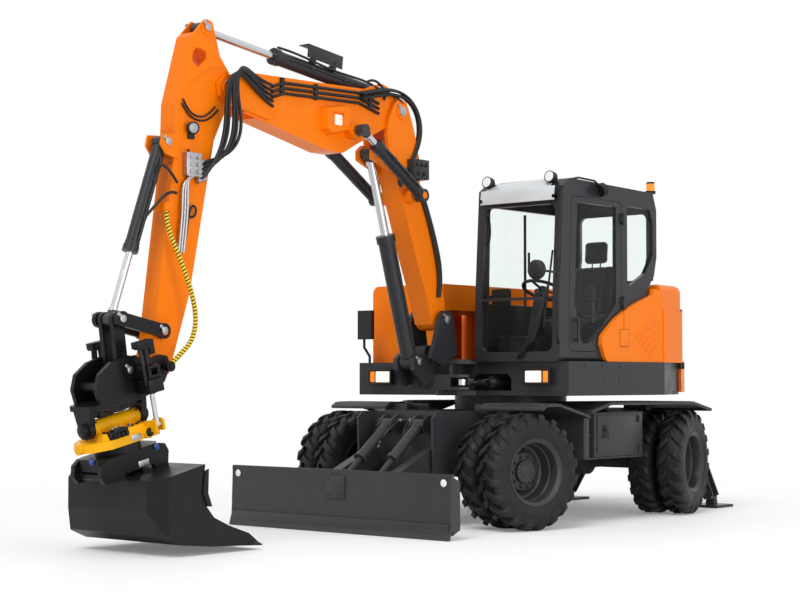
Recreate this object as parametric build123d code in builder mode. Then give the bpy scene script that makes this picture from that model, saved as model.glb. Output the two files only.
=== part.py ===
from build123d import *
import math
import os

# A wheeled excavator of the ten tonne class, in millimetres.
# X points ahead, Y to the machine's left and Z up, with the ground at Z = 0.
# Sizes along X are given from the point midway between the two axles.

# The whole machine is set back by this much when it is written out,
# so that the origin lies under the middle of its length.
origin_ahead = 1370.0

# Running gear
wheel_base = 2300.0
outer_width = 2460.0
tyre_radius = 487.0
tyre_width = 235.0
twin_gap = 50.0
rim_radius = 262.0
kingpin_offset = 750.0
steer_rest = 13.0
lug_count = 19
lug_height = 22.0
rim_wall = 14.0
flange = 8.0
dish_depth = 140.0
flange_rise = 20.0
disc_wall = 12.0
hub_radius = 95.0
hub_depth = 90.0
tread_width = 205.0
shoulder_radius = 440.0

# Half the width of the deck
side_y = 1200.0

# Chassis
frame_half_width = 430.0
frame_front = 1450.0
frame_rear = -1500.0
frame_top = 985.0
frame_bottom = 640.0
plate = 20.0
ring_top = 1100.0
ring_radius = 520.0

# Blade: its pivot and cylinder ends as (x, z)
blade_pivot = (1570.0, 600.0)
blade_cyl_base = (1530.0, 870.0)
blade_cyl_tip = (2130.0, 400.0)
blade_cyl_y = 180.0
blade_pin = 30.0
blade_cyl_pin = 22.0

# Stabiliser legs: pivots, feet and cylinder ends as (y, z) at the rear
leg_x = -2160.0
leg_pivot = (300.0, 700.0)
leg_foot = (860.0, 90.0)
leg_cyl_base = (120.0, 900.0)
leg_cyl_tip = (640.0, 640.0)
cheek = 85.0
leg_pin = 25.0

# Boom swing, boom, arm and bucket linkage: pins as (x, z) in the middle plane
swing_pin_x = 930.0
boom_foot = (1165.0, 1778.0)
boom_joint = (1717.0, 3550.0)
lift_base = (1450.0, 1410.0)
lift_top = (1980.0, 3170.0)
adjust_base = (1602.0, 2832.0)
adjust_top = (2356.0, 3311.0)
adjust_y = 262.0
adjust_pin = 30.0
joint_pin = 32.0
arm_cyl_pin = 30.0
bucket_cyl_pin = 28.0
side_link_pin_radius = 31.0
arm_joint = (3740.0, 3490.0)
arm_cyl_base = (1935.0, 3697.0)
arm_top = (3935.0, 3938.0)
bucket_cyl_top = (4325.0, 3022.0)
link_pin = (4790.0, 1690.0)
side_link_pin = (4395.0, 1613.0)
arm_tip = (4411.0, 1353.0)
coupler_pin = (4737.0, 1323.0)

boom_width = 200.0
clear = 6.0
# Running clearance of a pin in its eye, a rod in its gland or a pane in its frame
fit = 0.3

axle_x = wheel_base / 2
twin_width = 2 * tyre_width + twin_gap
wheel_centre = outer_width / 2 - twin_width / 2


def keep(piece, name):
    """Label a finished piece and write it as one STEP file."""
    placed = piece.part.moved(Location((-origin_ahead, 0, 0)))
    placed.label = name
    export_step(placed, "parts/" + name + ".step")


def side_plane(y):
    """A sketch plane facing the machine's right, at the given Y, with X along X and Y along Z."""
    return Plane.XZ.offset(-y)


def along(start, end):
    """A sketch plane at a start point that faces an end point."""
    direction = Vector(*end) - Vector(*start)
    return Plane(origin=start, z_dir=direction)


def at_y(point, y=0.0):
    """A pin place given as (x, z), as a point in space."""
    return (point[0], y, point[1])


os.makedirs("parts", exist_ok=True)


def side_plate(points, y, thickness, corner=0.0):
    """A plate of the given outline (x, z) standing along X, centred on Y = y."""
    with BuildPart() as made:
        with BuildSketch(side_plane(y)) as outline:
            with BuildLine():
                Polyline(*points, close=True)
            make_face()
            if corner > 0:
                fillet(outline.vertices(), corner)
        extrude(amount=thickness / 2, both=True)
    return made.part


def barrel_part(base, tip, length, outer, rod, eye, eye_width, pin, pin_axis=(90, 0, 0), plug=60.0):
    """A cylinder barrel from its base eye toward its rod, open at the gland, bored for its base pin."""
    face = along(base, tip)
    with BuildPart() as made:
        with BuildSketch(face.offset(eye * 0.7)):
            Circle(outer)
        extrude(amount=length - eye * 0.7)
        with BuildSketch(face.offset(length - outer * 0.9)):
            Circle(outer * 1.16)
        extrude(amount=outer * 0.9)
        with Locations(base):
            Cylinder(eye, eye_width, rotation=pin_axis)
        with BuildSketch(face.offset(eye + plug)):
            Circle(rod + fit)
        extrude(amount=length, mode=Mode.SUBTRACT)
        with Locations(base):
            Cylinder(pin + fit, 2 * eye_width, rotation=pin_axis, mode=Mode.SUBTRACT)
    return made.part


def rod_part(base, tip, start, radius, eye, eye_width, pin_axis=(90, 0, 0)):
    """A cylinder rod from inside its barrel to its own eye."""
    face = along(base, tip)
    reach = (Vector(*tip) - Vector(*base)).length
    with BuildPart() as made:
        with BuildSketch(face.offset(start)):
            Circle(radius)
        extrude(amount=reach - start)
        with BuildSketch(face.offset(reach - eye * 1.7)):
            Circle(radius * 1.35)
        extrude(amount=eye * 1.2)
        with Locations(tip):
            Cylinder(eye, eye_width, rotation=pin_axis)
    return made.part


def tube(points, radius, corner=0.0):
    """A round tube or hose along the given points, with rounded corners."""
    with BuildPart() as made:
        with BuildLine() as route:
            if corner > 0:
                FilletPolyline(*points, radius=corner)
            else:
                Polyline(*points)
        with BuildSketch(Plane(origin=points[0], z_dir=route.line % 0)):
            Circle(radius)
        sweep()
    return made.part


# Chassis: two side plates, a top plate and cross members, with the leg carrier behind,
# the blade ears ahead and the slew ring on top.
with BuildPart() as chassis_frame:
    for side in (-1, 1):
        add(side_plate([(frame_front - 10, 400), (frame_front + 190, 400), (frame_front + 210, 930),
                        (frame_front + 150, frame_top), (frame_rear, frame_top), (frame_rear, 560),
                        (-axle_x - 230, 560), (-axle_x - 160, 700), (-axle_x + 160, 700), (-axle_x + 300, 430),
                        (axle_x - 300, 430), (axle_x - 160, 700), (axle_x + 160, 700), (axle_x + 210, 455)],
                       side * (frame_half_width - plate / 2), plate))
    for x, width, level, height in (
        (frame_front - plate / 2, plate, 720, 530), (frame_rear + plate / 2, plate, 772, 426),
        (axle_x, 220, 740, 60), (-axle_x, 220, 740, 60), (axle_x - 320, plate, 755, 430), (-axle_x + 320, plate, 755, 430),
    ):
        with Locations((x, 0, level)):
            Box(width, 2 * frame_half_width - plate, height)
    for side in (-1, 1):
        with Locations((frame_front, side * 300, 880)):
            Box(60, 90, 110, mode=Mode.SUBTRACT)
        with Locations(at_y(blade_pivot, side * (frame_half_width - 75))):
            Cylinder(blade_pin, 150, rotation=(90, 0, 0))
        for inner in (blade_cyl_y - 66, blade_cyl_y + 66):
            add(side_plate([(frame_front - 10, 790), (frame_front - 10, 950), (1500, 950), (1570, 910), (1590, 860),
                            (1560, 810)], side * inner, 20.0))
        with Locations(at_y(blade_cyl_base, side * blade_cyl_y)):
            Cylinder(blade_cyl_pin, 148, rotation=(90, 0, 0))
    with Locations(((frame_rear + 10 + leg_x + cheek) / 2, 0, 790)):
        Box(frame_rear + 10 - leg_x - cheek, 660, 260)
    with Locations((leg_x + cheek, 0, 790), (leg_x - cheek, 0, 790)):
        Box(30, 760, 340)
    with Locations((leg_x, 0, 790)):
        Box(2 * cheek - 30, 100, 300)
    for side in (-1, 1):
        with Locations((leg_x, side * leg_pivot[0], leg_pivot[1]), (leg_x, side * leg_cyl_base[0], leg_cyl_base[1])):
            Cylinder(leg_pin, 2 * cheek, rotation=(0, 90, 0))
    with Locations(((frame_front + frame_rear) / 2, 0, frame_top - plate / 2)):
        Box(frame_front - frame_rear - plate, 2 * frame_half_width - plate, plate)
    with Locations((0, 0, (frame_top + ring_top) / 2 - 5)):
        Cylinder(ring_radius, ring_top - frame_top + 10)
    with Locations((0, 0, (frame_top + ring_top) / 2)):
        Cylinder(ring_radius - 90, 200, mode=Mode.SUBTRACT)
keep(chassis_frame, "chassis_frame")

# Axles: a round housing with a differential in the middle and a yoke at each kingpin.
axle_radius = 75.0
yoke_gap = 190.0
with BuildPart() as axles:
    for x in (-axle_x, axle_x):
        with Locations((x, 0, tyre_radius)):
            Cylinder(axle_radius, 2 * (kingpin_offset - 120), rotation=(90, 0, 0))
            Cylinder(150, 160, rotation=(90, 0, 0))
        with Locations((x, 0, (tyre_radius + 60 + 710 - fit) / 2)):
            Box(160, 300, 710 - fit - tyre_radius - 60)
        for side in (-1, 1):
            with Locations((x, side * (kingpin_offset - 130), tyre_radius)):
                Box(120, 40, yoke_gap + 80)
            for level in (-1, 1):
                with Locations((x, side * (kingpin_offset - 75), tyre_radius + level * (yoke_gap / 2 + 20))):
                    Box(110, 150, 40)
                with Locations((x, side * kingpin_offset, tyre_radius + level * (yoke_gap / 2 + 20))):
                    Cylinder(55, 40)
    with Locations((0, 0, tyre_radius)):
        Cylinder(34, wheel_base - 260, rotation=(0, 90, 0))
    with Locations((-150, 0, tyre_radius + 60)):
        Box(360, 260, 260)
keep(axles, "axles")

# One tread lug and the gap after it, as (radius, angle in pitches), repeated round the tyre.
lug_step = 360 / lug_count
lug_outline = [
    (radius * math.cos(math.radians((index + share) * lug_step)), radius * math.sin(math.radians((index + share) * lug_step)))
    for index in range(lug_count)
    for radius, share in (
        (tyre_radius - lug_height, 0.0), (tyre_radius, 0.05), (tyre_radius, 0.5), (tyre_radius - lug_height, 0.55),
    )
]

# Knuckles: the swivel between the yoke arms, with the spindle that the wheel turns on.
for corner_name, x, side in (
    ("front_left", axle_x, 1), ("front_right", axle_x, -1),
    ("rear_left", -axle_x, 1), ("rear_right", -axle_x, -1),
):
    turn = -steer_rest if x > 0 else steer_rest
    pivot = Location((x, side * kingpin_offset, tyre_radius), (0, 0, turn))
    half_twin = twin_width / 2
    hub_y = wheel_centre - kingpin_offset
    dish = -half_twin + dish_depth
    spindle_end = hub_y - dish - disc_wall - 0.3
    with BuildPart() as knuckle:
        Cylinder(50, yoke_gap - 2 * fit)
        with Locations((0, side * 70, 0)):
            Cylinder(60, 140, rotation=(90, 0, 0))
        with Locations((0, side * (spindle_end + 130) / 2, 0)):
            Cylinder(45, spindle_end - 130, rotation=(90, 0, 0))
    knuckle.part = knuckle.part.moved(pivot)
    keep(knuckle, "knuckle_" + corner_name)

    # Wheel: a twin rim with a deep dished outer side and a hub cap, and two lugged tyres on it.
    # The wheel's own Z axis points inward, toward the machine.
    wheel_place = pivot * Location((0, side * hub_y, 0), (90, 0, 0) if side > 0 else (-90, 0, 0))
    with BuildPart() as rim:
        with BuildSketch(Plane.XZ):
            with BuildLine():
                Polyline(
                    (0, dish - hub_depth), (hub_radius, dish - hub_depth), (hub_radius, dish), (150, dish),
                    (rim_radius - rim_wall, dish - 80), (rim_radius - rim_wall, -half_twin - flange),
                    (rim_radius + flange_rise, -half_twin - flange), (rim_radius + flange_rise, -half_twin - 0.3),
                    (rim_radius, -half_twin - 0.3), (rim_radius, half_twin), (rim_radius - rim_wall, half_twin),
                    (rim_radius - rim_wall, dish - 60), (160, dish + disc_wall), (0, dish + disc_wall), close=True,
                )
            make_face()
        revolve(axis=Axis.Z)
    rim.part = rim.part.moved(wheel_place)
    keep(rim, "rim_" + corner_name)

    with BuildPart() as tyre:
        for middle in (-(tyre_width + twin_gap) / 2, (tyre_width + twin_gap) / 2):
            with BuildSketch(Plane.XY.offset(middle - tread_width / 2)):
                with BuildLine():
                    Polyline(*lug_outline, close=True)
                make_face()
            extrude(amount=tread_width)
            with BuildSketch(Plane.XY.offset(middle - tyre_width / 2)):
                RegularPolygon(shoulder_radius, lug_count)
            extrude(amount=tyre_width)
        Cylinder(rim_radius, 2 * twin_width, mode=Mode.SUBTRACT)
    tyre.part = tyre.part.moved(wheel_place)
    keep(tyre, "tyre_" + corner_name)

# Fenders: bent tread plates over the wheels, with the side lockers between the axles.
fender_top = 1050.0
fender_plate = 8.0
locker_low = 560.0
locker_high = 970.0
locker_depth = 690.0
locker_y = frame_half_width + locker_depth / 2
with BuildPart() as fenders:
    for side in (-1, 1):
        for outline in (
            [(frame_front + 560, fender_top), (axle_x - 230, fender_top), (680, fender_top - 82)],
            [(440, fender_top - 85), (300, fender_top), (-1420, fender_top), (-1590, fender_top - 85)],
        ):
            upper = [(x, z + fender_plate) for x, z in outline]
            add(side_plate(outline + upper[::-1], side * (530 + side_y + 10) / 2, side_y + 10 - 530))
        for x in (frame_front - 60, 720, -600, frame_rear + 90):
            with Locations((x, side * (frame_half_width + 120), fender_top - 55)):
                Box(60, 240, 110)
    for side in (-1, 1):
        with Locations((-125, side * locker_y, (locker_low + locker_high) / 2)):
            Box(670, locker_depth, locker_high - locker_low)
        with Locations((-125, side * (locker_y + 60), (locker_high + fender_top) / 2)):
            Box(600, locker_depth - 120, fender_top - locker_high)
        with Locations((325, side * locker_y, locker_low + 15), (325, side * locker_y, locker_low + 200)):
            Box(230, locker_depth, 30)
keep(fenders, "fenders")

# Blade on the ground ahead of the front wheels, with its two push arms.
blade_width = 2450.0
blade_face_x = 2433.0
blade_height = 516.0
with BuildPart() as blade:
    with BuildSketch(side_plane(0)) as section:
        with BuildLine():
            Polyline(
                (blade_face_x, 2), (blade_face_x - 30, blade_height * 0.2), (blade_face_x - 42, blade_height),
                (blade_face_x - 75, blade_height), (blade_face_x - 62, blade_height * 0.2),
                (blade_face_x - 22, 2), close=True,
            )
        make_face()
    extrude(amount=blade_width / 2, both=True)
    for side in (-1, 1):
        add(side_plate([(blade_face_x - 60, 40), (blade_face_x - 38, blade_height - 10),
                        (blade_face_x - 150, blade_height - 60), (blade_face_x - 150, 80)],
                       side * (blade_width / 2 - 15), 30.0))
        add(side_plate([(blade_face_x - 55, 120), (blade_face_x - 55, 330), (2200, 420), (2080, 470),
                        (blade_pivot[0] + 30, 670), (blade_pivot[0] - 50, 640), (blade_pivot[0] - 50, 540),
                        (2100, 240)], side * 330.0, 100.0))
        for inner in (blade_cyl_y - 50, blade_cyl_y + 50):
            add(side_plate([(2230, 250), (2340, 290), (2180, 450), (2100, 450), (2080, 380)], side * inner, 20.0))
        with Locations(at_y(blade_pivot, side * 330)):
            Cylinder(62, 100, rotation=(90, 0, 0))
            Cylinder(blade_pin + fit, 140, rotation=(90, 0, 0), mode=Mode.SUBTRACT)
    with Locations((2290, 0, 230)):
        Box(160, 700, 120)
keep(blade, "blade")

with BuildPart() as blade_barrels:
    for side in (-1, 1):
        start = at_y(blade_cyl_base, side * blade_cyl_y)
        end = at_y(blade_cyl_tip, side * blade_cyl_y)
        add(barrel_part(start, end, 470, 48, 25, 50, 100, blade_cyl_pin))
keep(blade_barrels, "blade_barrels")
with BuildPart() as blade_rods:
    for side in (-1, 1):
        start = at_y(blade_cyl_base, side * blade_cyl_y)
        end = at_y(blade_cyl_tip, side * blade_cyl_y)
        add(rod_part(start, end, 225, 25, 36, 68))
keep(blade_rods, "blade_rods")

# Stabiliser legs at the rear, folded down beside the frame ends.
for side_name, side in (("left", 1), ("right", -1)):
    pivot = (leg_x, side * leg_pivot[0], leg_pivot[1])
    foot = (leg_x, side * leg_foot[0], leg_foot[1])
    base = (leg_x, side * leg_cyl_base[0], leg_cyl_base[1])
    tip = (leg_x, side * leg_cyl_tip[0], leg_cyl_tip[1])
    with BuildPart() as leg:
        for x in (leg_x - 52, leg_x + 52):
            with BuildSketch(Plane.YZ.offset(x)):
                with BuildLine():
                    Polyline(
                        (side * (leg_pivot[0] - 45), leg_pivot[1] - 40), (side * leg_pivot[0], leg_pivot[1] + 55),
                        (side * (leg_cyl_tip[0] + 40), leg_cyl_tip[1] + 50), (side * (leg_foot[0] + 50), leg_foot[1] + 30),
                        (side * (leg_foot[0] - 50), leg_foot[1] - 20), (side * (leg_cyl_tip[0] - 90), leg_cyl_tip[1] - 150),
                        close=True,
                    )
                make_face()
            extrude(amount=9, both=True)
        with Locations(((leg_x, side * 760, 330))):
            Box(110, 60, 160)
        with Locations(pivot):
            Cylinder(leg_pin + fit, 150, rotation=(0, 90, 0), mode=Mode.SUBTRACT)
        with Locations(foot):
            Cylinder(28, 122, rotation=(0, 90, 0))
        with Locations((leg_x, side * leg_foot[0], 40)):
            Box(70, 90, 60)
        with Locations((leg_x, side * leg_foot[0], 13)):
            Box(320, 300, 26)
    keep(leg, "leg_" + side_name)
    with BuildPart() as leg_barrel:
        add(barrel_part(base, tip, 320, 30, 17, 38, 56, leg_pin, pin_axis=(0, 90, 0)))
    keep(leg_barrel, "leg_barrel_" + side_name)
    with BuildPart() as leg_rod:
        add(rod_part(base, tip, 266, 17, 28, 60, pin_axis=(0, 90, 0)))
    keep(leg_rod, "leg_rod_" + side_name)

# Swing cylinder of the boom, beside the cab floor: its ends as (x, y) and its height.
swing_ear = (1100.0, 300.0)
swing_base = (80.0, 430.0)
swing_level = 1235.0
swing_cyl_pin = 24.0

# Upper structure: deck plate, side skirts, counterweight, engine cover and cab.
deck_low = 1118.0
deck_high = 1416.0
ear_top = 1436.0
swing_pin = 45.0
front_x = 770.0
seam_x = -760.0
tail_x = -1600.0


def tail_outline(grow):
    """The rear edge of the deck from the left seam round to the right one, moved out by grow."""
    half = [(seam_x, side_y - 50), (seam_x - 390, side_y - 120), (seam_x - 550, 712), (seam_x - 690, 550)]
    left = [(x - grow, y + grow) for x, y in half]
    return left + [(x, -y) for x, y in reversed(left)]


swing_window = (70.0, 420.0, 150.0)
deck_plate = 40.0
skirt = 20.0
skirt_end = (seam_x - 550, 1010.0)
with BuildPart() as upper_frame:
    with BuildSketch(Plane.XY.offset(deck_low)) as plan:
        with BuildLine():
            Polyline(
                (front_x, side_y), (seam_x, side_y), *tail_outline(0), (seam_x, -side_y), (front_x, -side_y),
                close=True,
            )
        make_face()
    extrude(amount=deck_plate)
    # The skirt along each side, and its end that runs in toward the tail
    for side in (-1, 1):
        with BuildSketch(Plane.XY.offset(deck_low)) as skirt_plan:
            with BuildLine():
                Polyline(
                    (front_x, side * side_y), (seam_x, side * side_y), (skirt_end[0], side * skirt_end[1]),
                    (skirt_end[0], side * (skirt_end[1] - skirt)), (seam_x, side * (side_y - skirt)),
                    (front_x, side * (side_y - skirt)), close=True,
                )
            make_face()
        extrude(amount=deck_high - deck_low)
    with Locations((front_x - skirt / 2, 0, (deck_low + deck_high) / 2)):
        Box(skirt, 2 * side_y, deck_high - deck_low)
    with Locations((seam_x + 30, 0, (deck_low + deck_high) / 2)):
        Box(20, 2 * (side_y - skirt), deck_high - deck_low)
    for y, web_front in ((-260, 700), (260, 450)):
        with Locations(((web_front - 700) / 2, y, (deck_low + deck_high) / 2)):
            Box(web_front + 700, 30, deck_high - deck_low)
    for z in (deck_low, ear_top - deck_plate):
        with BuildSketch(Plane.XY.offset(z)) as ear:
            with BuildLine():
                Polyline((front_x - 60, 230), (swing_pin_x, 110), (swing_pin_x + 60, 90), (swing_pin_x + 100, 35),
                         (swing_pin_x + 100, -35), (swing_pin_x + 60, -90), (swing_pin_x, -110),
                         (front_x - 60, -230), close=True)
            make_face()
            fillet(ear.vertices().group_by(Axis.X)[-1], 30)
        extrude(amount=deck_plate)
    # The swing cylinder looks out through an opening with cut corners, in the front plate
    with BuildSketch(Plane.YZ.offset(front_x - 3 * skirt)) as window:
        with Locations((380, swing_level)):
            Rectangle(swing_window[1], swing_window[2])
        chamfer(window.vertices().group_by(Axis.Y)[-1], 45)
    extrude(amount=6 * skirt, mode=Mode.SUBTRACT)
    with Locations((swing_base[0], swing_base[1], deck_low + deck_plate + 10)):
        Cylinder(45, 28)
    with Locations((swing_base[0], swing_base[1], swing_level)):
        Cylinder(swing_cyl_pin, 120)
    with Locations((0, 0, (ring_top + fit + deck_low) / 2)):
        Cylinder(ring_radius, deck_low - ring_top - fit)
    with Locations((swing_pin_x, 0, (deck_low + ear_top) / 2)):
        Cylinder(swing_pin, ear_top - deck_low)
keep(upper_frame, "upper_frame")

# Counterweight: a rounded block across the tail, with a thicker foot that stands out below it.
weight_low = 1140.0
weight_step = 1370.0
weight_high = 1900.0
foot_out = 85.0
weight_front = seam_x - fit
engine_front = -800.0
engine_rear = -1290.0
engine_width = 860.0
engine_top = deck_low + deck_plate + fit + 560.0
with BuildPart() as counterweight:
    with BuildSketch(Plane.XY.offset(deck_high + fit)) as plan:
        with BuildLine():
            Polyline(
                (weight_front, side_y), (seam_x - 420, side_y - 60), (seam_x - 640, side_y - 260), (tail_x, 620),
                (tail_x, -620), (seam_x - 640, 260 - side_y), (seam_x - 420, 60 - side_y), (weight_front, -side_y),
                close=True,
            )
        make_face()
        fillet(plan.vertices().sort_by(Axis.X)[0:6], 120)
    extrude(amount=weight_high - deck_high - fit)
    # The engine stands in a bay between the block and the deck
    with BuildSketch(Plane.XY.offset(deck_high)):
        with Locations(((seam_x + engine_rear - 20) / 2, 0)):
            Rectangle(seam_x - engine_rear + 20, engine_width + 40)
    extrude(amount=engine_top + 20 - deck_high, mode=Mode.SUBTRACT)
    with BuildSketch(Plane.XY.offset(weight_low)) as foot:
        with BuildLine():
            Polyline(
                (skirt_end[0] - fit, skirt_end[1] + 30), (seam_x - 640 - foot_out, side_y - 230), (tail_x - foot_out, 620),
                (tail_x - foot_out, -620), (seam_x - 640 - foot_out, 230 - side_y), (skirt_end[0] - fit, -skirt_end[1] - 30),
                *[(x, y) for x, y in reversed(tail_outline(fit)) if x < skirt_end[0]], close=True,
            )
        make_face()
    extrude(amount=deck_high + 20 - weight_low)
    # The foot's upper rear edge slopes back to the block
    chamfer(counterweight.edges().filter_by(Plane.XY).group_by(Axis.Z)[2].sort_by(Axis.X)[0:1], 60)
keep(counterweight, "counterweight")

# Engine cover: a rounded lid over the tail and the right side, side panels, and the
# cover behind the cab door with its curved front edge and slanting louvres.
hood_top = 2140.0
hood_left = 1150.0
hood_inner_y = -320.0
hood_front = 600.0
panel = 30.0
cover_out = 1187.0
louvre_count = 5
louvre_pitch = 64.0
louvre_low = 1522.0
louvre_rear = -666.0
with BuildPart() as hood:
    with BuildSketch(Plane.XY.offset(weight_high + fit)) as plan:
        with BuildLine():
            Polyline(
                (-725, side_y - 20), (seam_x - 420, side_y - 80), (seam_x - 620, side_y - 280), (tail_x + 30, 600),
                (tail_x + 30, -600), (seam_x - 620, 280 - side_y), (seam_x - 420, 80 - side_y), (hood_front, 20 - side_y),
                (hood_front, hood_inner_y), (-725, hood_inner_y), close=True,
            )
        make_face()
        fillet(plan.vertices().sort_by(Axis.X)[0:6], 100)
    extrude(amount=hood_top - weight_high - fit)
    fillet(hood.edges().group_by(Axis.Z)[-1].sort_by(Axis.X)[0:-2], 70)
    for x, y, length, depth in (
        ((hood_front - 715) / 2, 20 - side_y + panel / 2, hood_front + 715, panel),
        (hood_front - panel / 2, (hood_inner_y + 20 - side_y) / 2, panel, side_y - 20 + hood_inner_y),
    ):
        with Locations((x, y, (deck_high + fit + weight_high + 10) / 2)):
            Box(length, depth, weight_high + 10 - deck_high - fit)
    # Cooling slots through the right-hand panel
    with Locations(*[(330 - 130 * index, 20 - side_y, 1660) for index in range(7)]):
        Box(70, 4 * panel, 300, mode=Mode.SUBTRACT)
    # The cover behind the door
    with BuildSketch(side_plane((hood_left + fit + cover_out) / 2)) as cover:
        with BuildLine():
            Polyline((170, deck_high + fit), (248, 1569), (235, 1640), (169, 1694), (10, 1804), (-185, 1899), (-383, 1969),
                     (-585, 2031), (-600, 2090), (seam_x + fit, 2070), (seam_x + fit, deck_high + fit), close=True)
        make_face()
        fillet(cover.vertices().sort_by(Axis.X)[-3:], 40)
    extrude(amount=(cover_out - hood_left - fit) / 2, both=True)
    # Raised ribs that curve down toward the front
    for index in range(louvre_count):
        level = louvre_low + index * louvre_pitch
        reach = 150 + 50 * index
        with BuildSketch(side_plane(cover_out)) as rib:
            with BuildLine():
                ThreePointArc((louvre_rear, level), (louvre_rear + reach * 0.55, level - reach * 0.12),
                              (louvre_rear + reach, level - reach * 0.42))
                Line((louvre_rear + reach, level - reach * 0.42), (louvre_rear + reach, level - reach * 0.42 + 22))
                ThreePointArc((louvre_rear + reach, level - reach * 0.42 + 22),
                              (louvre_rear + reach * 0.55, level - reach * 0.12 + 24), (louvre_rear, level + 24))
                Line((louvre_rear, level + 24), (louvre_rear, level))
            make_face()
        extrude(amount=7, both=True)
    # The latch panel is outlined by a groove
    with Locations((-133, cover_out, 1625)):
        Box(136, 8, 156, mode=Mode.SUBTRACT)
    with Locations((-133, cover_out - 5, 1625)):
        Box(128, 10, 148)
keep(hood, "hood")

with BuildPart() as engine_block:
    with Locations(((engine_front + engine_rear) / 2, 0, (deck_low + deck_plate + fit + engine_top) / 2)):
        Box(engine_front - engine_rear, engine_width, engine_top - deck_low - deck_plate - fit)
keep(engine_block, "engine_block")

# Cab: a hollow frame of pillars with rounded corners, windows cut right through.
cab_low = deck_high + fit
cab_high = 3000.0
cab_front = 830.0
cab_rear = -715.0
cab_right = 235.0
cab_left = 1150.0
cab_middle = (cab_right + cab_left) / 2
cab_half = (cab_left - cab_right) / 2
wall = 45.0
windscreen_lean = 60.0
screen_level = 2137.0
screen_height = 1275.0
screen_width = 765.0
bar_level = 1960.0
door_rear = -130.0
door_front = 690.0
door_gap = 6.0
hinge_x = door_rear - 15
hinge_y = cab_left + 18
hinge_pin = 8.0
hinge_knuckle = 16.0
hinge_levels = (1950.0, 2700.0)
glass = 6.0

# Outlines seen from the left, as (x, z): the shell, then the openings in it
cab_outline = [
    (cab_front, cab_low), (cab_front, 1960), (cab_front - windscreen_lean, cab_high - 70),
    (cab_front - windscreen_lean - 100, cab_high), (cab_rear + 60, cab_high - 25), (cab_rear, cab_high - 180),
    (cab_rear, 2390), (cab_rear + 45, 2210), (cab_rear + 150, 2090), (cab_rear + 150, cab_low),
]
cab_inside = [
    (cab_front - wall, cab_low + wall), (cab_front - wall, 1960), (cab_front - windscreen_lean - wall, cab_high - 100),
    (cab_rear + 90, cab_high - 70), (cab_rear + wall, cab_high - 190), (cab_rear + wall, 2390),
    (cab_rear + 45 + wall, 2220), (cab_rear + 150 + wall, 2100), (cab_rear + 150 + wall, cab_low + wall),
]
door_outline = [
    (door_front, 1500), (door_front, 1960), (door_front - 45, 2850), (door_rear, 2850), (door_rear, 1888), (10, 1822),
    (176, 1708), (256, 1650), (264, 1500),
]
door_opening = [
    (610, 1950), (555, 2800), (door_rear + 84, 2800), (door_rear + 90, 1932), (345, 1590), (470, 1560), (520, 1610),
]
quarter_opening = [
    (-225, 2823), (-600, 2817), (-650, 2700), (-650, 2400), (-517, 2222), (-225, 2082),
]
right_opening = [
    (690, 1700), (660, 2800), (-520, 2800), (-560, 2250), (-500, 1700),
]


def side_opening(outline, y, depth, corner, shrink=0.0):
    """A prism through a side wall from its outer face inward, with rounded corners."""
    with BuildPart() as made:
        with BuildSketch(side_plane(y)) as shape:
            with BuildLine():
                Polyline(*outline, close=True)
            make_face()
            if shrink:
                offset(amount=-shrink, kind=Kind.INTERSECTION, mode=Mode.REPLACE)
            fillet(shape.vertices(), corner)
        extrude(amount=depth)
    return made.part


def cab_block(grow=0.0):
    """The cab's outer form as a solid, with rounded roof corners, grown by a little for a cut."""
    with BuildPart() as made:
        with BuildSketch(side_plane(cab_middle)) as shape:
            with BuildLine():
                Polyline(*cab_outline, close=True)
            make_face()
            fillet(shape.vertices().group_by(Axis.Y)[-1], 45)
            fillet(shape.vertices().sort_by(Axis.X)[0:2], 60)
            if grow:
                offset(amount=grow, mode=Mode.REPLACE)
        extrude(amount=cab_half + grow, both=True)
        if not grow:
            fillet(made.edges().filter_by(Axis.X).group_by(Axis.Z)[-1], 40)
    return made.part


with BuildPart() as cab_frame:
    add(cab_block())
    with BuildSketch(side_plane(cab_middle)) as inside:
        with BuildLine():
            Polyline(*cab_inside, close=True)
        make_face()
    extrude(amount=cab_half - wall, both=True, mode=Mode.SUBTRACT)
    for outline, face_y, corner in (
        (right_opening, cab_right + wall + 10, 60), (door_outline, cab_left + 10, 45), (quarter_opening, cab_left + 10, 40),
    ):
        add(side_opening(outline, face_y, wall + 20, corner), mode=Mode.SUBTRACT)
    # Windscreen and rear window
    for plane_x, depth, height, level, width, corner in (
        (cab_front - 160, 220, screen_height, screen_level, screen_width, 70),
        (cab_rear - 60, 240, 620, 2480, 2 * cab_half - 170, 60),
    ):
        with BuildSketch(Plane.YZ.offset(plane_x)):
            with Locations((cab_middle, level)):
                RectangleRounded(width, height, corner)
        extrude(amount=depth, mode=Mode.SUBTRACT)
    # The bar between the upper and the lower windscreen
    with Locations((cab_front - wall / 2, cab_middle, bar_level)):
        Box(wall, 2 * cab_half - 100, 24)
    # Sills and rails that stand out a little: the roof's front lip and the band under the door
    with Locations((cab_front - windscreen_lean + 10, cab_middle, cab_high - 130)):
        Box(60, 2 * cab_half - 120, 50)
    for level in hinge_levels:
        with Locations((hinge_x, hinge_y, level)):
            Cylinder(hinge_pin, 84)
        for end in (-1, 1):
            with Locations((hinge_x, hinge_y, level + end * 42)):
                Cylinder(hinge_knuckle, 20)
            with Locations((hinge_x - 14, hinge_y - 15, level + end * 42)):
                Box(28, 34, 20)
keep(cab_frame, "cab_frame")

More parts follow.
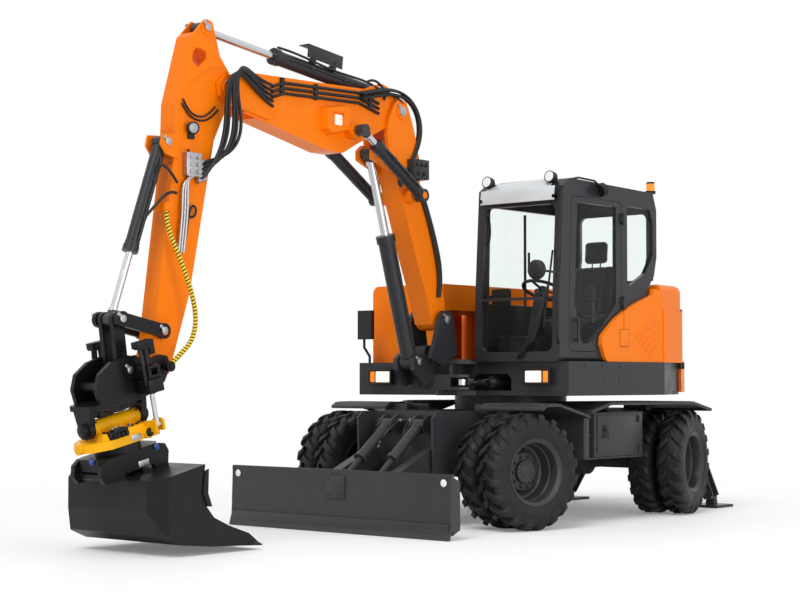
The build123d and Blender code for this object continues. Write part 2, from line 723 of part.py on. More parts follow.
with BuildPart() as cab_glass:
    with BuildPart(mode=Mode.PRIVATE) as windscreen:
        with BuildSketch(Plane.YZ.offset(cab_front - 160)):
            with Locations((cab_middle, screen_level)):
                RectangleRounded(screen_width - 2 * fit, screen_height - 2 * fit, 70 - fit)
        extrude(amount=220)
        with BuildSketch(side_plane(cab_middle)):
            with BuildLine():
                Polyline((cab_front - 12, bar_level + 12 + fit), (cab_front - 64, 2800), (cab_front - 64 - glass, 2800),
                         (cab_front - 12 - glass, bar_level + 12 + fit), close=True)
            make_face()
            with Locations((cab_front - 12 - glass / 2, 1690)):
                Rectangle(glass, 2 * (bar_level - 12 - fit - 1690))
        extrude(amount=cab_half, both=True, mode=Mode.INTERSECT)
    add(windscreen.part)
    for outline, face_y, corner in ((right_opening, cab_right + 26, 60), (quarter_opening, cab_left - 15, 40)):
        add(side_opening(outline, face_y, glass, corner - fit, shrink=fit))
    with BuildSketch(Plane.YZ.offset(cab_rear + 17)):
        with Locations((cab_middle, 2480)):
            RectangleRounded(2 * cab_half - 170 - 2 * fit, 620 - 2 * fit, 60 - fit)
    extrude(amount=glass)
keep(cab_glass, "cab_glass")

with BuildPart() as cab_door:
    add(side_opening(door_outline, cab_left, wall - 5, 45 - door_gap, shrink=door_gap))
    add(side_opening(door_opening, cab_left + 5, wall + 20, 28), mode=Mode.SUBTRACT)
    for level in hinge_levels:
        with Locations((hinge_x, hinge_y, level)):
            Cylinder(hinge_knuckle, 2 * (32 - fit))
        with Locations((hinge_x + 20, hinge_y - 7, level)):
            Box(36, 8, 2 * (32 - fit))
        with Locations((hinge_x + 32, hinge_y - 11, level)):
            Box(12, 18, 2 * (32 - fit))
        with Locations((hinge_x, hinge_y, level)):
            Cylinder(hinge_pin + fit, 90, mode=Mode.SUBTRACT)
    # Pull handle: two feet and an upright grip
    with Locations((592, cab_left + 12, 1600), (592, cab_left + 12, 1770)):
        Box(26, 26, 22)
    with Locations((592, cab_left + 28, 1685)):
        Box(20, 14, 220)
keep(cab_door, "cab_door")
with BuildPart() as door_glass:
    add(side_opening(door_opening, cab_left - 15, glass, 28 - fit, shrink=fit))
keep(door_glass, "door_glass")

# Seat with its armrest consoles, and the steering column ahead of it
seat_y = 700.0
floor = cab_low + wall
with BuildPart() as seat:
    with Locations((-60, seat_y, floor + 110)):
        Box(360, 380, 220)
    with BuildSketch(side_plane(seat_y)) as cushion:
        with BuildLine():
            Polyline((-300, floor + 210), (200, floor + 230), (215, floor + 320), (-200, floor + 320), (-330, floor + 880),
                     (-440, floor + 860), close=True)
        make_face()
        fillet(cushion.vertices(), 30)
    extrude(amount=235, both=True)
    with BuildSketch(side_plane(seat_y)) as headrest:
        with BuildLine():
            Polyline((-410, floor + 850), (-350, floor + 850), (-345, floor + 1090), (-440, floor + 1080), close=True)
        make_face()
        fillet(headrest.vertices(), 25)
    extrude(amount=130, both=True)
    for side in (-1, 1):
        with Locations((-40, seat_y + side * 300, floor + 330)):
            Box(430, 110, 90)
        with Locations((-120, seat_y + side * 300, floor + 145)):
            Box(160, 90, 290)
        with Locations((110, seat_y + side * 300, floor + 440)):
            Cylinder(18, 150)
    with BuildSketch(side_plane(seat_y)) as stalk:
        with BuildLine():
            Polyline((560, floor + fit), (660, floor + fit), (500, floor + 560), (440, floor + 540), close=True)
        make_face()
    extrude(amount=50, both=True)
    with Locations(Location((440, seat_y, floor + 590), (0, -25, 0))):
        Torus(185, 16)
        Box(370, 40, 20)
        Cylinder(50, 120)
    # Display on the right-hand front pillar
    with Locations((620, cab_right + wall + 90, 1990)):
        Box(60, 180, 150)
    with Locations((700, cab_right + wall + 30, 1990)):
        Box(162.8, 40, 40)
keep(seat, "seat")

# Kingpost: the casting that swings the boom to either side on its upright pin.
kingpost_half = 165.0
post_low = deck_low + 40 + clear
post_high = ear_top - 40 - clear
foot_pin = 35.0
lift_pin = 32.0
with BuildPart() as kingpost:
    with Locations((swing_pin_x, 0, (post_low + post_high) / 2)):
        Cylinder(88, post_high - post_low)
    with BuildSketch(side_plane(0)) as web:
        with BuildLine():
            Polyline((swing_pin_x + 30, 1170), (1340, 1175), (1360, 1250), (1345, 1480), (1300, 1600),
                     (1240, 1600), (1060, 1560), (1050, post_high), (swing_pin_x + 30, post_high), close=True)
        make_face()
    extrude(amount=70, both=True)
    for side in (-1, 1):
        add(side_plate([(1030, 1480), (1060, 1690), (1080, 1800), (1130, 1860), (1200, 1860), (1252, 1810),
                        (1330, 1560), (1390, 1440), (1240, 1380)], side * kingpost_half, 50.0))
        add(side_plate([(1250, 1250), (1400, 1200), (1530, 1340), (1530, 1440), (1470, 1490), (1400, 1480),
                        (1300, 1480)], side * 95.0, 44.0))
    with Locations((1240, 0, 1430)):
        Box(200, 2 * kingpost_half, 90)
    with BuildSketch(Plane.XY.offset(swing_level - 67)) as arm_ear:
        with BuildLine():
            Polyline((swing_pin_x + 40, 40), (swing_ear[0] - 70, swing_ear[1] + 30), (swing_ear[0], swing_ear[1] + 75),
                     (swing_ear[0] + 70, swing_ear[1] + 20), (1280, 60), close=True)
        make_face()
    extrude(amount=134)
    with BuildSketch(Plane.XY.offset(swing_level - 42)) as slot:
        with Locations(swing_ear):
            Circle(110)
    extrude(amount=84, mode=Mode.SUBTRACT)
    with Locations((boom_foot[0], 0, 1700)):
        Box(400, 2 * (boom_width / 2 + clear), 300, mode=Mode.SUBTRACT)
    with Locations((1150, 0, 1500)):
        Box(150, 130, 120)
    with Locations(at_y(lift_base)):
        Cylinder(82, 2 * 73, rotation=(90, 0, 0), mode=Mode.SUBTRACT)
    with Locations(at_y(boom_foot)):
        Cylinder(foot_pin, 2 * kingpost_half + 60, rotation=(90, 0, 0))
    with Locations(at_y(lift_base)):
        Cylinder(lift_pin, 200, rotation=(90, 0, 0))
    with Locations((swing_pin_x, 0, (post_low + post_high) / 2)):
        Cylinder(swing_pin + fit, 2 * (post_high - post_low), mode=Mode.SUBTRACT)
keep(kingpost, "kingpost")

swing_start = (swing_base[0], swing_base[1], swing_level)
swing_end = (swing_ear[0], swing_ear[1], swing_level)
with BuildPart() as swing_barrel:
    add(barrel_part(swing_start, swing_end, 670, 48, 26, 52, 50, swing_cyl_pin, pin_axis=(0, 0, 0)))
keep(swing_barrel, "swing_barrel")
with BuildPart() as swing_rod:
    add(rod_part(swing_start, swing_end, 380, 26, 45, 48, pin_axis=(0, 0, 0)))
keep(swing_rod, "swing_rod")

# Lower boom: a tapering box with forked ears at the top.
with BuildPart() as boom_lower:
    with BuildSketch(side_plane(0)) as body:
        with BuildLine():
            Polyline((1078, 1800), (1106, 1989), (1203, 2324), (1367, 2711), (1440, 3000), (1500, 3200),
                     (1850, 3200), (1760, 3020), (1627, 2692), (1481, 2309), (1343, 1980), (1262, 1740), close=True)
        make_face()
    extrude(amount=boom_width / 2, both=True)
    with Locations(at_y(boom_foot)):
        Cylinder(90, boom_width, rotation=(90, 0, 0))
        Cylinder(foot_pin + fit, boom_width + 20, rotation=(90, 0, 0), mode=Mode.SUBTRACT)
    for side in (-1, 1):
        add(side_plate([(1470, 3050), (1500, 3200), (1560, 3420), (1620, 3560), (1660, 3640), (1740, 3660), (1810, 3620),
                        (1880, 3480), (1910, 3330), (1870, 3120), (1760, 3020)], side * 123.0, 34.0))
        add(side_plate([(1470, 3050), (1500, 3190), (1850, 3190), (1760, 3020)], side * 100.0, 20.0))
        add(side_plate([(1740, 3005), (1760, 3060), (1900, 3240), (1990, 3250), (2050, 3200), (2050, 3120),
                        (1990, 3095)], side * 80.0, 36.0))
    for side in (-1, 1):
        with Locations(at_y(adjust_base, side * 145.0)):
            Cylinder(60, 100, rotation=(90, 0, 0))
        with Locations(at_y(adjust_base, side * 240.0)):
            Cylinder(adjust_pin, 120, rotation=(90, 0, 0))
    with Locations(at_y(boom_joint)):
        Cylinder(joint_pin, 300, rotation=(90, 0, 0))
    for side in (-1, 1):
        with Locations(at_y(boom_joint, side * 145)):
            Cylinder(68, 14, rotation=(90, 0, 0))
        with Locations(at_y(boom_foot, side * (boom_width / 2 - 5))):
            Cylinder(78, 14, rotation=(90, 0, 0), mode=Mode.ADD)
    with Locations(at_y(boom_foot)):
        Cylinder(foot_pin + fit, boom_width + 20, rotation=(90, 0, 0), mode=Mode.SUBTRACT)
    # Valve block on the left ear
    with Locations((1548, 158, 3065)):
        Box(150, 40, 120)
keep(boom_lower, "boom_lower")

lift_start = at_y(lift_base)
lift_end = at_y(lift_top)
with BuildPart() as lift_barrel:
    add(barrel_part(lift_start, lift_end, 1130, 72, 37, 70, 120, lift_pin))
keep(lift_barrel, "lift_barrel")
with BuildPart() as lift_rod:
    add(rod_part(lift_start, lift_end, 700, 37, 55, 110))
keep(lift_rod, "lift_rod")

# Upper boom: a cranked box between the boom joint and the arm.
arm_half = 82.0
fork_inner = arm_half + clear
with BuildPart() as boom_upper:
    with BuildSketch(side_plane(0)) as body:
        with BuildLine():
            Polyline((1660, 3600), (1790, 3690), (2050, 3700), (2300, 3690), (3560, 3650), (3560, 3330),
                     (2600, 3130), (2420, 3130), (2250, 3220), (1900, 3390), (1660, 3480), close=True)
        make_face()
    extrude(amount=boom_width / 2, both=True)
    with Locations(at_y(boom_joint)):
        Cylinder(80, boom_width, rotation=(90, 0, 0))
        Cylinder(joint_pin + fit, boom_width + 20, rotation=(90, 0, 0), mode=Mode.SUBTRACT)
    with Locations(at_y(arm_joint)):
        Cylinder(362, 2 * fork_inner, rotation=(90, 0, 0), mode=Mode.SUBTRACT)
    for side in (-1, 1):
        add(side_plate([(3300, 3300), (3300, 3640), (3660, 3620), (3780, 3590), (3850, 3520), (3830, 3430),
                        (3740, 3380)], side * (fork_inner + 18), 36.0))
        add(side_plate([(1790, 3670), (1860, 3750), (1935, 3770), (2010, 3750), (2220, 3670)],
                       side * 85.0, 30.0))
        with Locations(at_y(adjust_top, side * 150.0)):
            Cylinder(60, 100, rotation=(90, 0, 0))
    with Locations(at_y(arm_joint)):
        Cylinder(joint_pin, 300, rotation=(90, 0, 0))
    for side in (-1, 1):
        with Locations(at_y(arm_joint, side * (fork_inner + 40))):
            Cylinder(66, 14, rotation=(90, 0, 0))
    # Angular guard round the work lamp on the left
    with BuildSketch(side_plane(boom_width / 2 - 2)) as guard:
        with BuildLine():
            Polyline((2380, 3500), (2440, 3525), (2690, 3480), (2700, 3290), (2620, 3255), (2400, 3300), close=True)
        make_face()
    extrude(amount=-72, taper=14)
    with Locations((2555, boom_width / 2 + 70, 3390)):
        Box(150, 50, 110, mode=Mode.SUBTRACT)
    with BuildSketch(side_plane(0)) as pocket:
        with BuildLine():
            Polyline((1850, 3800), (1850, 3625), (1960, 3625), (2760, 3670), (2760, 3800), close=True)
        make_face()
    extrude(amount=66, both=True, mode=Mode.SUBTRACT)
    with Locations(at_y(arm_cyl_base)):
        Cylinder(arm_cyl_pin, 210, rotation=(90, 0, 0))
keep(boom_upper, "boom_upper")

with BuildPart() as adjust_barrels:
    for side in (-1, 1):
        start = at_y(adjust_base, side * adjust_y)
        add(barrel_part(start, at_y(adjust_top, side * adjust_y), 700, 52, 27, 55, 80, adjust_pin))
keep(adjust_barrels, "adjust_barrels")
with BuildPart() as adjust_rods:
    for side in (-1, 1):
        add(rod_part(at_y(adjust_base, side * adjust_y), at_y(adjust_top, side * adjust_y), 230, 27, 48, 80))
keep(adjust_rods, "adjust_rods")

# Arm: a box with a tall head for its cylinder and a slim lower end.
clamp_place = (4372.0, 2530.0)
hose_y = (125.0, 240.0, 215.0)
with BuildPart() as arm:
    with BuildSketch(side_plane(0)) as body:
        with BuildLine():
            Polyline((3960, 4000), (3880, 3990), (3850, 3900), (3800, 3740), (3700, 3620), (3690, 3420),
                     (3860, 3080), (4100, 1900), (4300, 1300), (4411, 1280), (4490, 1353), (4440, 1620),
                     (4260, 2950), (4250, 3320), (4100, 3850), close=True)
        make_face()
    extrude(amount=arm_half, both=True)
    with Locations(at_y(arm_joint)):
        Cylinder(joint_pin + fit, 200, rotation=(90, 0, 0), mode=Mode.SUBTRACT)
    for side in (-1, 1):
        add(side_plate([(4230, 3090), (4380, 3080), (4400, 3000), (4350, 2930), (4230, 2900)], side * 82.0, 20.0))
    with BuildSketch(side_plane(0)) as head_slot:
        with BuildLine():
            Polyline((3700, 3770), (3890, 3770), (4085, 3900), (4085, 4100), (3700, 4100), close=True)
        make_face()
    extrude(amount=65, both=True, mode=Mode.SUBTRACT)
    with BuildSketch(side_plane(0)) as head_hole:
        with BuildLine():
            Polyline((4040, 3775), (3938, 3755), (3940, 3700), (4026, 3615), (4088, 3666), (4078, 3735), close=True)
        make_face()
        fillet(head_hole.vertices(), 22)
    extrude(amount=arm_half + 5, both=True, mode=Mode.SUBTRACT)
    for side in (-1, 1):
        for place, radius in ((arm_tip, 72), (arm_top, 62)):
            with Locations(at_y(place, side * (arm_half + 2))):
                Cylinder(radius, 12, rotation=(90, 0, 0))
        # The ears carry their own ends of the cylinder's pin
        with Locations(at_y(arm_top, side * (arm_half - 4))):
            Cylinder(arm_cyl_pin, 44, rotation=(90, 0, 0))
    with Locations((4345, 0, 2990)):
        Box(180, 130, 260, mode=Mode.SUBTRACT)
    # Clamp that the wrapped hose leaves from
    with Locations((clamp_place[0], (arm_half + hose_y[0]) / 2, clamp_place[1])):
        Box(70, hose_y[0] - arm_half + 60, 60)
    with Locations(at_y(arm_tip)):
        Cylinder(joint_pin + fit, 200, rotation=(90, 0, 0), mode=Mode.SUBTRACT)
    with Locations(at_y(side_link_pin)):
        Cylinder(side_link_pin_radius, 290, rotation=(90, 0, 0))
    with Locations(at_y(bucket_cyl_top)):
        Cylinder(bucket_cyl_pin, 190, rotation=(90, 0, 0))
keep(arm, "arm")

arm_start = at_y(arm_cyl_base)
arm_end = at_y(arm_top)
with BuildPart() as arm_barrel:
    add(barrel_part(arm_start, arm_end, 1220, 60, 32, 58, 100, arm_cyl_pin))
keep(arm_barrel, "arm_barrel")
with BuildPart() as arm_rod:
    add(rod_part(arm_start, arm_end, 900, 32, 50, 100))
keep(arm_rod, "arm_rod")

bucket_start = at_y(bucket_cyl_top)
bucket_end = at_y(link_pin)
with BuildPart() as bucket_barrel:
    add(barrel_part(bucket_start, bucket_end, 880, 52, 28, 50, 90, bucket_cyl_pin))
keep(bucket_barrel, "bucket_barrel")
with BuildPart() as bucket_rod:
    add(rod_part(bucket_start, bucket_end, 520, 28, 48, 74))
keep(bucket_rod, "bucket_rod")

with BuildPart() as side_links:
    for side in (-1, 1):
        y = side * 122.0
        with BuildSketch(side_plane(y)) as bar:
            with BuildLine():
                Polyline((side_link_pin[0], side_link_pin[1] + 50), (side_link_pin[0], side_link_pin[1] - 50),
                         (link_pin[0], link_pin[1] - 50), (link_pin[0], link_pin[1] + 50), close=True)
            make_face()
        extrude(amount=20, both=True)
        with Locations(at_y(side_link_pin, y), at_y(link_pin, y)):
            Cylinder(58, 40, rotation=(90, 0, 0))
        with Locations(at_y(side_link_pin, y)):
            Cylinder(side_link_pin_radius + fit, 60, rotation=(90, 0, 0), mode=Mode.SUBTRACT)
        with Locations(at_y(link_pin, side * 90)):
            Cylinder(bucket_cyl_pin, 90, rotation=(90, 0, 0))
keep(side_links, "side_links")

with BuildPart() as h_link:
    for side in (-1, 1):
        with BuildSketch(side_plane(side * 64.0)) as bar:
            with BuildLine():
                Polyline((link_pin[0] - 50, link_pin[1]), (link_pin[0] + 50, link_pin[1]),
                         (coupler_pin[0] + 50, coupler_pin[1]), (coupler_pin[0] - 50, coupler_pin[1]), close=True)
            make_face()
        extrude(amount=20, both=True)
        with Locations(at_y(link_pin, side * 64.0)):
            Cylinder(55, 40, rotation=(90, 0, 0))
            Cylinder(bucket_cyl_pin + fit, 60, rotation=(90, 0, 0), mode=Mode.SUBTRACT)
    with Locations(at_y(coupler_pin)):
        Cylinder(50, 168, rotation=(90, 0, 0))
keep(h_link, "h_link")

# Coupler: two side plates that hold the tilting head on a pin along the machine.
coupler_half = 130.0
tilt_lean = 13.0
tilt_lug = 245.0
tilt_pin = 30.0
tilt_cyl_x = -200.0
tilt_cyl_y = 235.0
tilt_ear = -60.0
tilt_trunnion = 330.0
head = Location((4757, 0, 950), (0, tilt_lean, 0))
swivel_pin = 20.0
trunnion_half = 56.0
with BuildPart() as coupler:
    for side in (-1, 1):
        add(side_plate([(4340, 1360), (4375, 1430), (4450, 1440), (4560, 1395), (4650, 1420), (4750, 1430),
                        (4900, 1380), (5010, 1290), (5035, 1180), (4990, 1060), (4760, 1075), (4600, 1120),
                        (4400, 1240)], side * coupler_half, 36.0, corner=26.0))
        with Locations(at_y(coupler_pin, side * (coupler_half + 24))):
            Cylinder(58, 14, rotation=(90, 0, 0))
        with Locations(at_y(arm_tip, side * (coupler_half + 24))):
            Cylinder(54, 14, rotation=(90, 0, 0))
    with Locations(at_y(coupler_pin, coupler_half - 10), at_y(coupler_pin, 10 - coupler_half)):
        Cylinder(45, 56, rotation=(90, 0, 0))
    with Locations(at_y(arm_tip)):
        Cylinder(joint_pin, 300, rotation=(90, 0, 0))
    # The pin's left end carries the swivel of the wrapped hose
    with Locations(at_y(arm_tip, coupler_half + 65)):
        Cylinder(swivel_pin, 100, rotation=(90, 0, 0))
    with Locations((4940, 0, 1200), (4620, 0, 1155)):
        Cylinder(36, 2 * coupler_half, rotation=(90, 0, 0))
    with BuildPart(mode=Mode.PRIVATE) as cradle:
        with BuildSketch(Plane.XY.offset(142)) as deck:
            Rectangle(560, 2 * coupler_half + 36)
            chamfer(deck.vertices(), 40)
        extrude(amount=36)
        for end in (-1, 1):
            with BuildSketch(Plane.YZ.offset(end * tilt_lug - 25)) as lug:
                with BuildLine():
                    Polyline((-95, 176), (-75, 60), (-60, 0), (60, 0), (75, 60), (95, 176), close=True)
                make_face()
            extrude(amount=50)
            with Locations((end * tilt_lug, 0, 0)):
                Cylinder(70, 50, rotation=(0, 90, 0))
            with Locations((end * (tilt_lug + 35), 0, 0)):
                Cylinder(52, 30, rotation=(0, 90, 0))
        Cylinder(tilt_pin, 2 * tilt_lug + 80, rotation=(0, 90, 0))
        for side in (-1, 1):
            for x in (-1, 1):
                with Locations((tilt_cyl_x + x * 46, side * 198, tilt_trunnion)):
                    Box(20, 186, 90)
                with Locations((tilt_cyl_x + x * 46, side * tilt_cyl_y, tilt_trunnion)):
                    Cylinder(25 + fit, 40, rotation=(0, 90, 0), mode=Mode.SUBTRACT)
            with Locations((tilt_cyl_x, side * 298, tilt_trunnion)):
                Box(2 * trunnion_half, 14, 90)
            with Locations((tilt_cyl_x, side * 298, tilt_trunnion)):
                Box(60, 30, 50, mode=Mode.SUBTRACT)
    add(cradle.part.moved(head))
keep(coupler, "coupler")

# Tilting head, turned about a pin that runs along the machine and leans with the bucket:
# a cast tub with the worm gear's housing across it.
tub_low = -150.0
tub_step = -88.0
with BuildPart() as tilt_head:
    Cylinder(58, 2 * (tilt_lug - 31), rotation=(0, 90, 0))
    with BuildSketch(Plane.XY.offset(tub_low)) as tub:
        with BuildLine():
            Polyline((-335, -80), (-250, -180), (190, -180), (300, -110), (335, -50), (335, 50), (300, 110), (190, 180),
                     (-250, 180), (-335, 80), close=True)
        make_face()
        fillet(tub.vertices(), 24)
    extrude(amount=tub_step - tub_low)
    with BuildSketch(Plane.XY.offset(tub_step)) as neck:
        Rectangle(430, 330)
        chamfer(neck.vertices(), 50)
    extrude(amount=46, taper=18)
    with Locations((0, 0, -58)):
        Box(380, 116, 60)
    with Locations((-150, 0, -108)):
        Cylinder(44, 400, rotation=(90, 0, 0))
    with Locations((300, 0, -118)):
        Cylinder(38, 120, rotation=(0, 90, 0))
    for side in (-1, 1):
        with Locations((tilt_cyl_x, side * 150, -106)):
            Box(110, 80, 84)
        for x in (-1, 1):
            with Locations((tilt_cyl_x + x * 36, side * 215, tilt_ear - 10)):
                Box(20, 110, 80)
            with Locations((tilt_cyl_x + x * 36, side * tilt_cyl_y, tilt_ear)):
                Cylinder(38, 20, rotation=(0, 90, 0))
    Cylinder(tilt_pin + fit, 500, rotation=(0, 90, 0), mode=Mode.SUBTRACT)
tilt_head.part = tilt_head.part.moved(head)
keep(tilt_head, "tilt_head")

for side_name, side in (("left", 1), ("right", -1)):
    high = (tilt_cyl_x, side * tilt_cyl_y, tilt_trunnion)
    low = (tilt_cyl_x, side * tilt_cyl_y, tilt_ear)
    with BuildPart() as tilt_barrel:
        with Locations((tilt_cyl_x, side * tilt_cyl_y, tilt_trunnion + 20)):
            Cylinder(32, 370)
        with Locations((tilt_cyl_x, side * tilt_cyl_y, tilt_trunnion)):
            Cylinder(25, 2 * trunnion_half, rotation=(0, 90, 0))
        # Port block with its pipe at the top
        with Locations((tilt_cyl_x + 30, side * (tilt_cyl_y + 20), tilt_trunnion + 185)):
            Box(110, 70, 26)
        with Locations((tilt_cyl_x, side * tilt_cyl_y, tilt_trunnion - 3)):
            Cylinder(17 + fit, 400, mode=Mode.SUBTRACT)
    tilt_barrel.part = tilt_barrel.part.moved(head)
    keep(tilt_barrel, "tilt_barrel_" + side_name)
    with BuildPart() as tilt_rod:
        add(rod_part(high, low, -30, 17, 26, 40, pin_axis=(0, 90, 0)))
    tilt_rod.part = tilt_rod.part.moved(head)
    keep(tilt_rod, "tilt_rod_" + side_name)

# Rotating hitch with the grading bucket below it.
hitch_low = -382.25
with BuildPart() as hitch:
    with Locations((0, 0, -160)):
        Cylinder(120, 2 * (10 - fit))
    with Locations((0, 0, -185)):
        Cylinder(170, 60)
    with BuildSketch(Plane.XY.offset(-300)) as frame_plan:
        Rectangle(560, 320)
        chamfer(frame_plan.vertices(), 60)
    extrude(amount=90)
    for side in (-1, 1):
        with BuildSketch(side_plane(side * 150)) as hook:
            with BuildLine():
                Polyline((-300, -230), (-325, -290), (-300, hitch_low), (-180, hitch_low), (-160, -350), (120, -350),
                         (150, hitch_low), (300, hitch_low), (330, -330), (310, -250), (250, -215), (-250, -215),
                         close=True)
            make_face()
        extrude(amount=20, both=True)
    with Locations((250, 0, -340), (-240, 0, -340)):
        Cylinder(30, 300, rotation=(90, 0, 0))
hitch.part = hitch.part.moved(head)
keep(hitch, "hitch")

# Bucket: folded plate with its back corners cut off, open toward the machine.
bucket_half = 545.0
bucket_shell = 16.0
bucket_back = 4815.0
corner_x = 115.0
corner_y = 110.0
bucket_top = (4360.0, 649.0)
lip = (3785.0, 30.0)


def bowl(outline, plan, half):
    """The space between an outline seen from the side and one seen from above."""
    with BuildPart() as made:
        with BuildSketch(side_plane(0)):
            with BuildLine():
                Polyline(*outline, close=True)
            make_face()
        extrude(amount=half, both=True)
        with BuildSketch(Plane.XY.offset(-50)):
            with BuildLine():
                Polyline(*plan, *[(x, -y) for x, y in reversed(plan)], close=True)
            make_face()
        extrude(amount=1000, mode=Mode.INTERSECT)
    return made.part


with BuildPart() as bucket:
    add(bowl(
        [bucket_top, (4388, 440), (4345, 345), (4270, 262), (4120, 195), (3920, 128), lip, (4300, 55), (4560, 80),
         (4720, 150), (bucket_back, 320), (bucket_back, 544)],
        [(lip[0], bucket_half), (bucket_back - corner_x, bucket_half), (bucket_back, bucket_half - corner_y)],
        bucket_half,
    ))
    inner = bucket_back - bucket_shell
    add(bowl(
        [(4300, 71), (4555, 97), (4710, 162), (inner, 325), (inner, 531.5), (4000, 716), (3600, 500), (3600, 42)],
        [(3500, bucket_half - bucket_shell), (inner - corner_x + 5, bucket_half - bucket_shell),
         (inner, bucket_half - corner_y - 11)],
        bucket_half - bucket_shell,
    ), mode=Mode.SUBTRACT)
    # Cutting edge along the lip, and the stiffening strips down the sides
    add(side_plate([lip, (3925, 37), (3925, 64), (lip[0] + 10, 44)], 0, 2 * bucket_half + 12))
    for side in (-1, 1):
        add(side_plate([(4372, 600), (4388, 440), (4345, 345), (4300, 345), (4340, 440), (4335, 615)],
                       side * (bucket_half + 5), 14))
keep(bucket, "bucket")

# Yellow wrapped hose from the arm to the swivel at the bucket's pin. Its points stay as chosen.
hose_radius = 20.0
swivel_y = hose_y[2]
hose_route = [
    (clamp_place[0], hose_y[0], clamp_place[1] - 30 - fit), (4372, hose_y[0], 2390), (4300, 205, 2140), (4212, hose_y[1], 1880),
    (4172, hose_y[1], 1690), (4215, 238, 1540), (4310, 228, 1448), (4384, swivel_y, 1380),
]
runs = [math.dist(a, b) for a, b in zip(hose_route, hose_route[1:])]
bends = []
for index in range(1, len(hose_route) - 1):
    before = Vector(*hose_route[index]) - Vector(*hose_route[index - 1])
    after = Vector(*hose_route[index + 1]) - Vector(*hose_route[index])
    half_turn = math.radians(before.get_angle(after)) / 2
    bends.append(0.45 * min(runs[index - 1], runs[index]) / math.tan(half_turn))
print("hose bend radii", [round(bend) for bend in bends], "run", round(sum(runs)))
with BuildPart() as hose_bundle:
    with BuildLine() as route:
        FilletPolyline(*hose_route, radius=bends)
    with BuildSketch(Plane(origin=hose_route[0], z_dir=route.line % 0)):
        Circle(hose_radius)
    sweep()
    with Locations(at_y(arm_tip, swivel_y)):
        Cylinder(40, 44, rotation=(90, 0, 0))
        Cylinder(swivel_pin + fit, 60, rotation=(90, 0, 0), mode=Mode.SUBTRACT)
keep(hose_bundle, "hose_bundle")

# Hoses clipped along the upper boom, from its rear joint toward the arm
with BuildPart() as boom_hoses:
    for y, drop in ((boom_width / 2 + 15, 0), (boom_width / 2 + 15, 42), (boom_width / 2 + 15, 84)):
        add(tube([(1990, y, 3590 - drop), (2240, y, 3650 - drop), (3130, y, 3616 - drop), (3265, y, 3570 - drop)],
                 13, corner=80))
    for x in (2100, 2760, 3150):
        with Locations((x, boom_width / 2 + fit + 12, 3590)):
            Box(36, 24, 130)
keep(boom_hoses, "boom_hoses")

# Lamps, mirrors and handrail of the cab and deck. What would reach into the cab is cut back to its face.
mirror_x = 1225.0
mirror_radius = 82.0
lamp_radius = 52.0
beacon_x = cab_rear - 140
with BuildPart() as cab_fittings:
    add(tube([(cab_front - 30, 1118, 1560), (870, 1162, 1600), (870, 1162, 2280), (812, 1162, 2860), (740, 1118, 2895)],
             14, corner=30))
    # Round mirror ahead of the door and oval mirror over it
    add(tube([(880, 1162, 2170), (mirror_x - 20, 1200, 2175)], 10))
    add(tube([(660, 1100, cab_high - 15), (560, 1165, 3010), (330, 1178, 3000), (245, 1175, 2955)], 9, corner=25))
    with BuildSketch(Plane(origin=(222, 1175, 2930), z_dir=(-0.8, 0.45, 0.35))) as oval:
        Ellipse(92, 60)
    extrude(amount=22, both=True)
    # Work lamps on the roof's front edge
    for y in (1030, 350):
        with Locations(Location((782, y, cab_high + 4), (0, 80, 0))):
            Cylinder(lamp_radius, 56)
        with Locations((740, y, cab_high - 30)):
            Box(50, 50, 80)
    # Beacon bracket behind the cab
    add(tube([(cab_rear + 30, 1000, 2880), (cab_rear - 90, 1000, 2885), (beacon_x, 1000, 2950), (beacon_x, 1000, 3002)],
             11, corner=25))
    add(cab_block(fit), mode=Mode.SUBTRACT)
    with Locations((mirror_x, 1200, 2175)):
        Cylinder(mirror_radius, 36, rotation=(0, 90, 0))
    with Locations((beacon_x, 1000, 3008)):
        Cylinder(48, 26)
    with Locations((beacon_x, 1000, 3060)):
        Cylinder(38, 90)
    # Right-hand mirror on its stalk from the deck's front edge
    add(tube([(front_x - 10, -1080, deck_high + fit), (front_x - 10, -1080, deck_high + 60), (815, -1100, 1560),
              (815, -1100, 1660)], 12, corner=25))
    with Locations((820, -1075, 1770)):
        Box(44, 170, 270)
    # Head lamps with their turn lamps, on the front plate
    for side in (-1, 1):
        with Locations((front_x + fit + 25, side * 864, 1284)):
            Box(50, 204, 134)
        with Locations((front_x + fit + 19, side * 998, 1284)):
            Box(38, 66, 116)
    # Camera over the tail
    with Locations((-1420, 560, hood_top + fit + 41)):
        Box(30, 30, 82)
    with Locations(Location((-1420, 560, hood_top + 86), (0, 12, 0))):
        Box(110, 150, 26)
keep(cab_fittings, "cab_fittings")
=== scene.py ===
# %% [markdown]
# # A wheeled excavator, dressed for its portrait
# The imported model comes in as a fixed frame: every node keeps its place, and each new
# piece is set against it. Lengths below are given in the drawing's own millimetres,
# counted from the middle between the axles, and turned into metres by one helper.

# %% Load the frame
import math
import bmesh
import bpy
from mathutils import Matrix, Vector
from mathutils.bvhtree import BVHTree


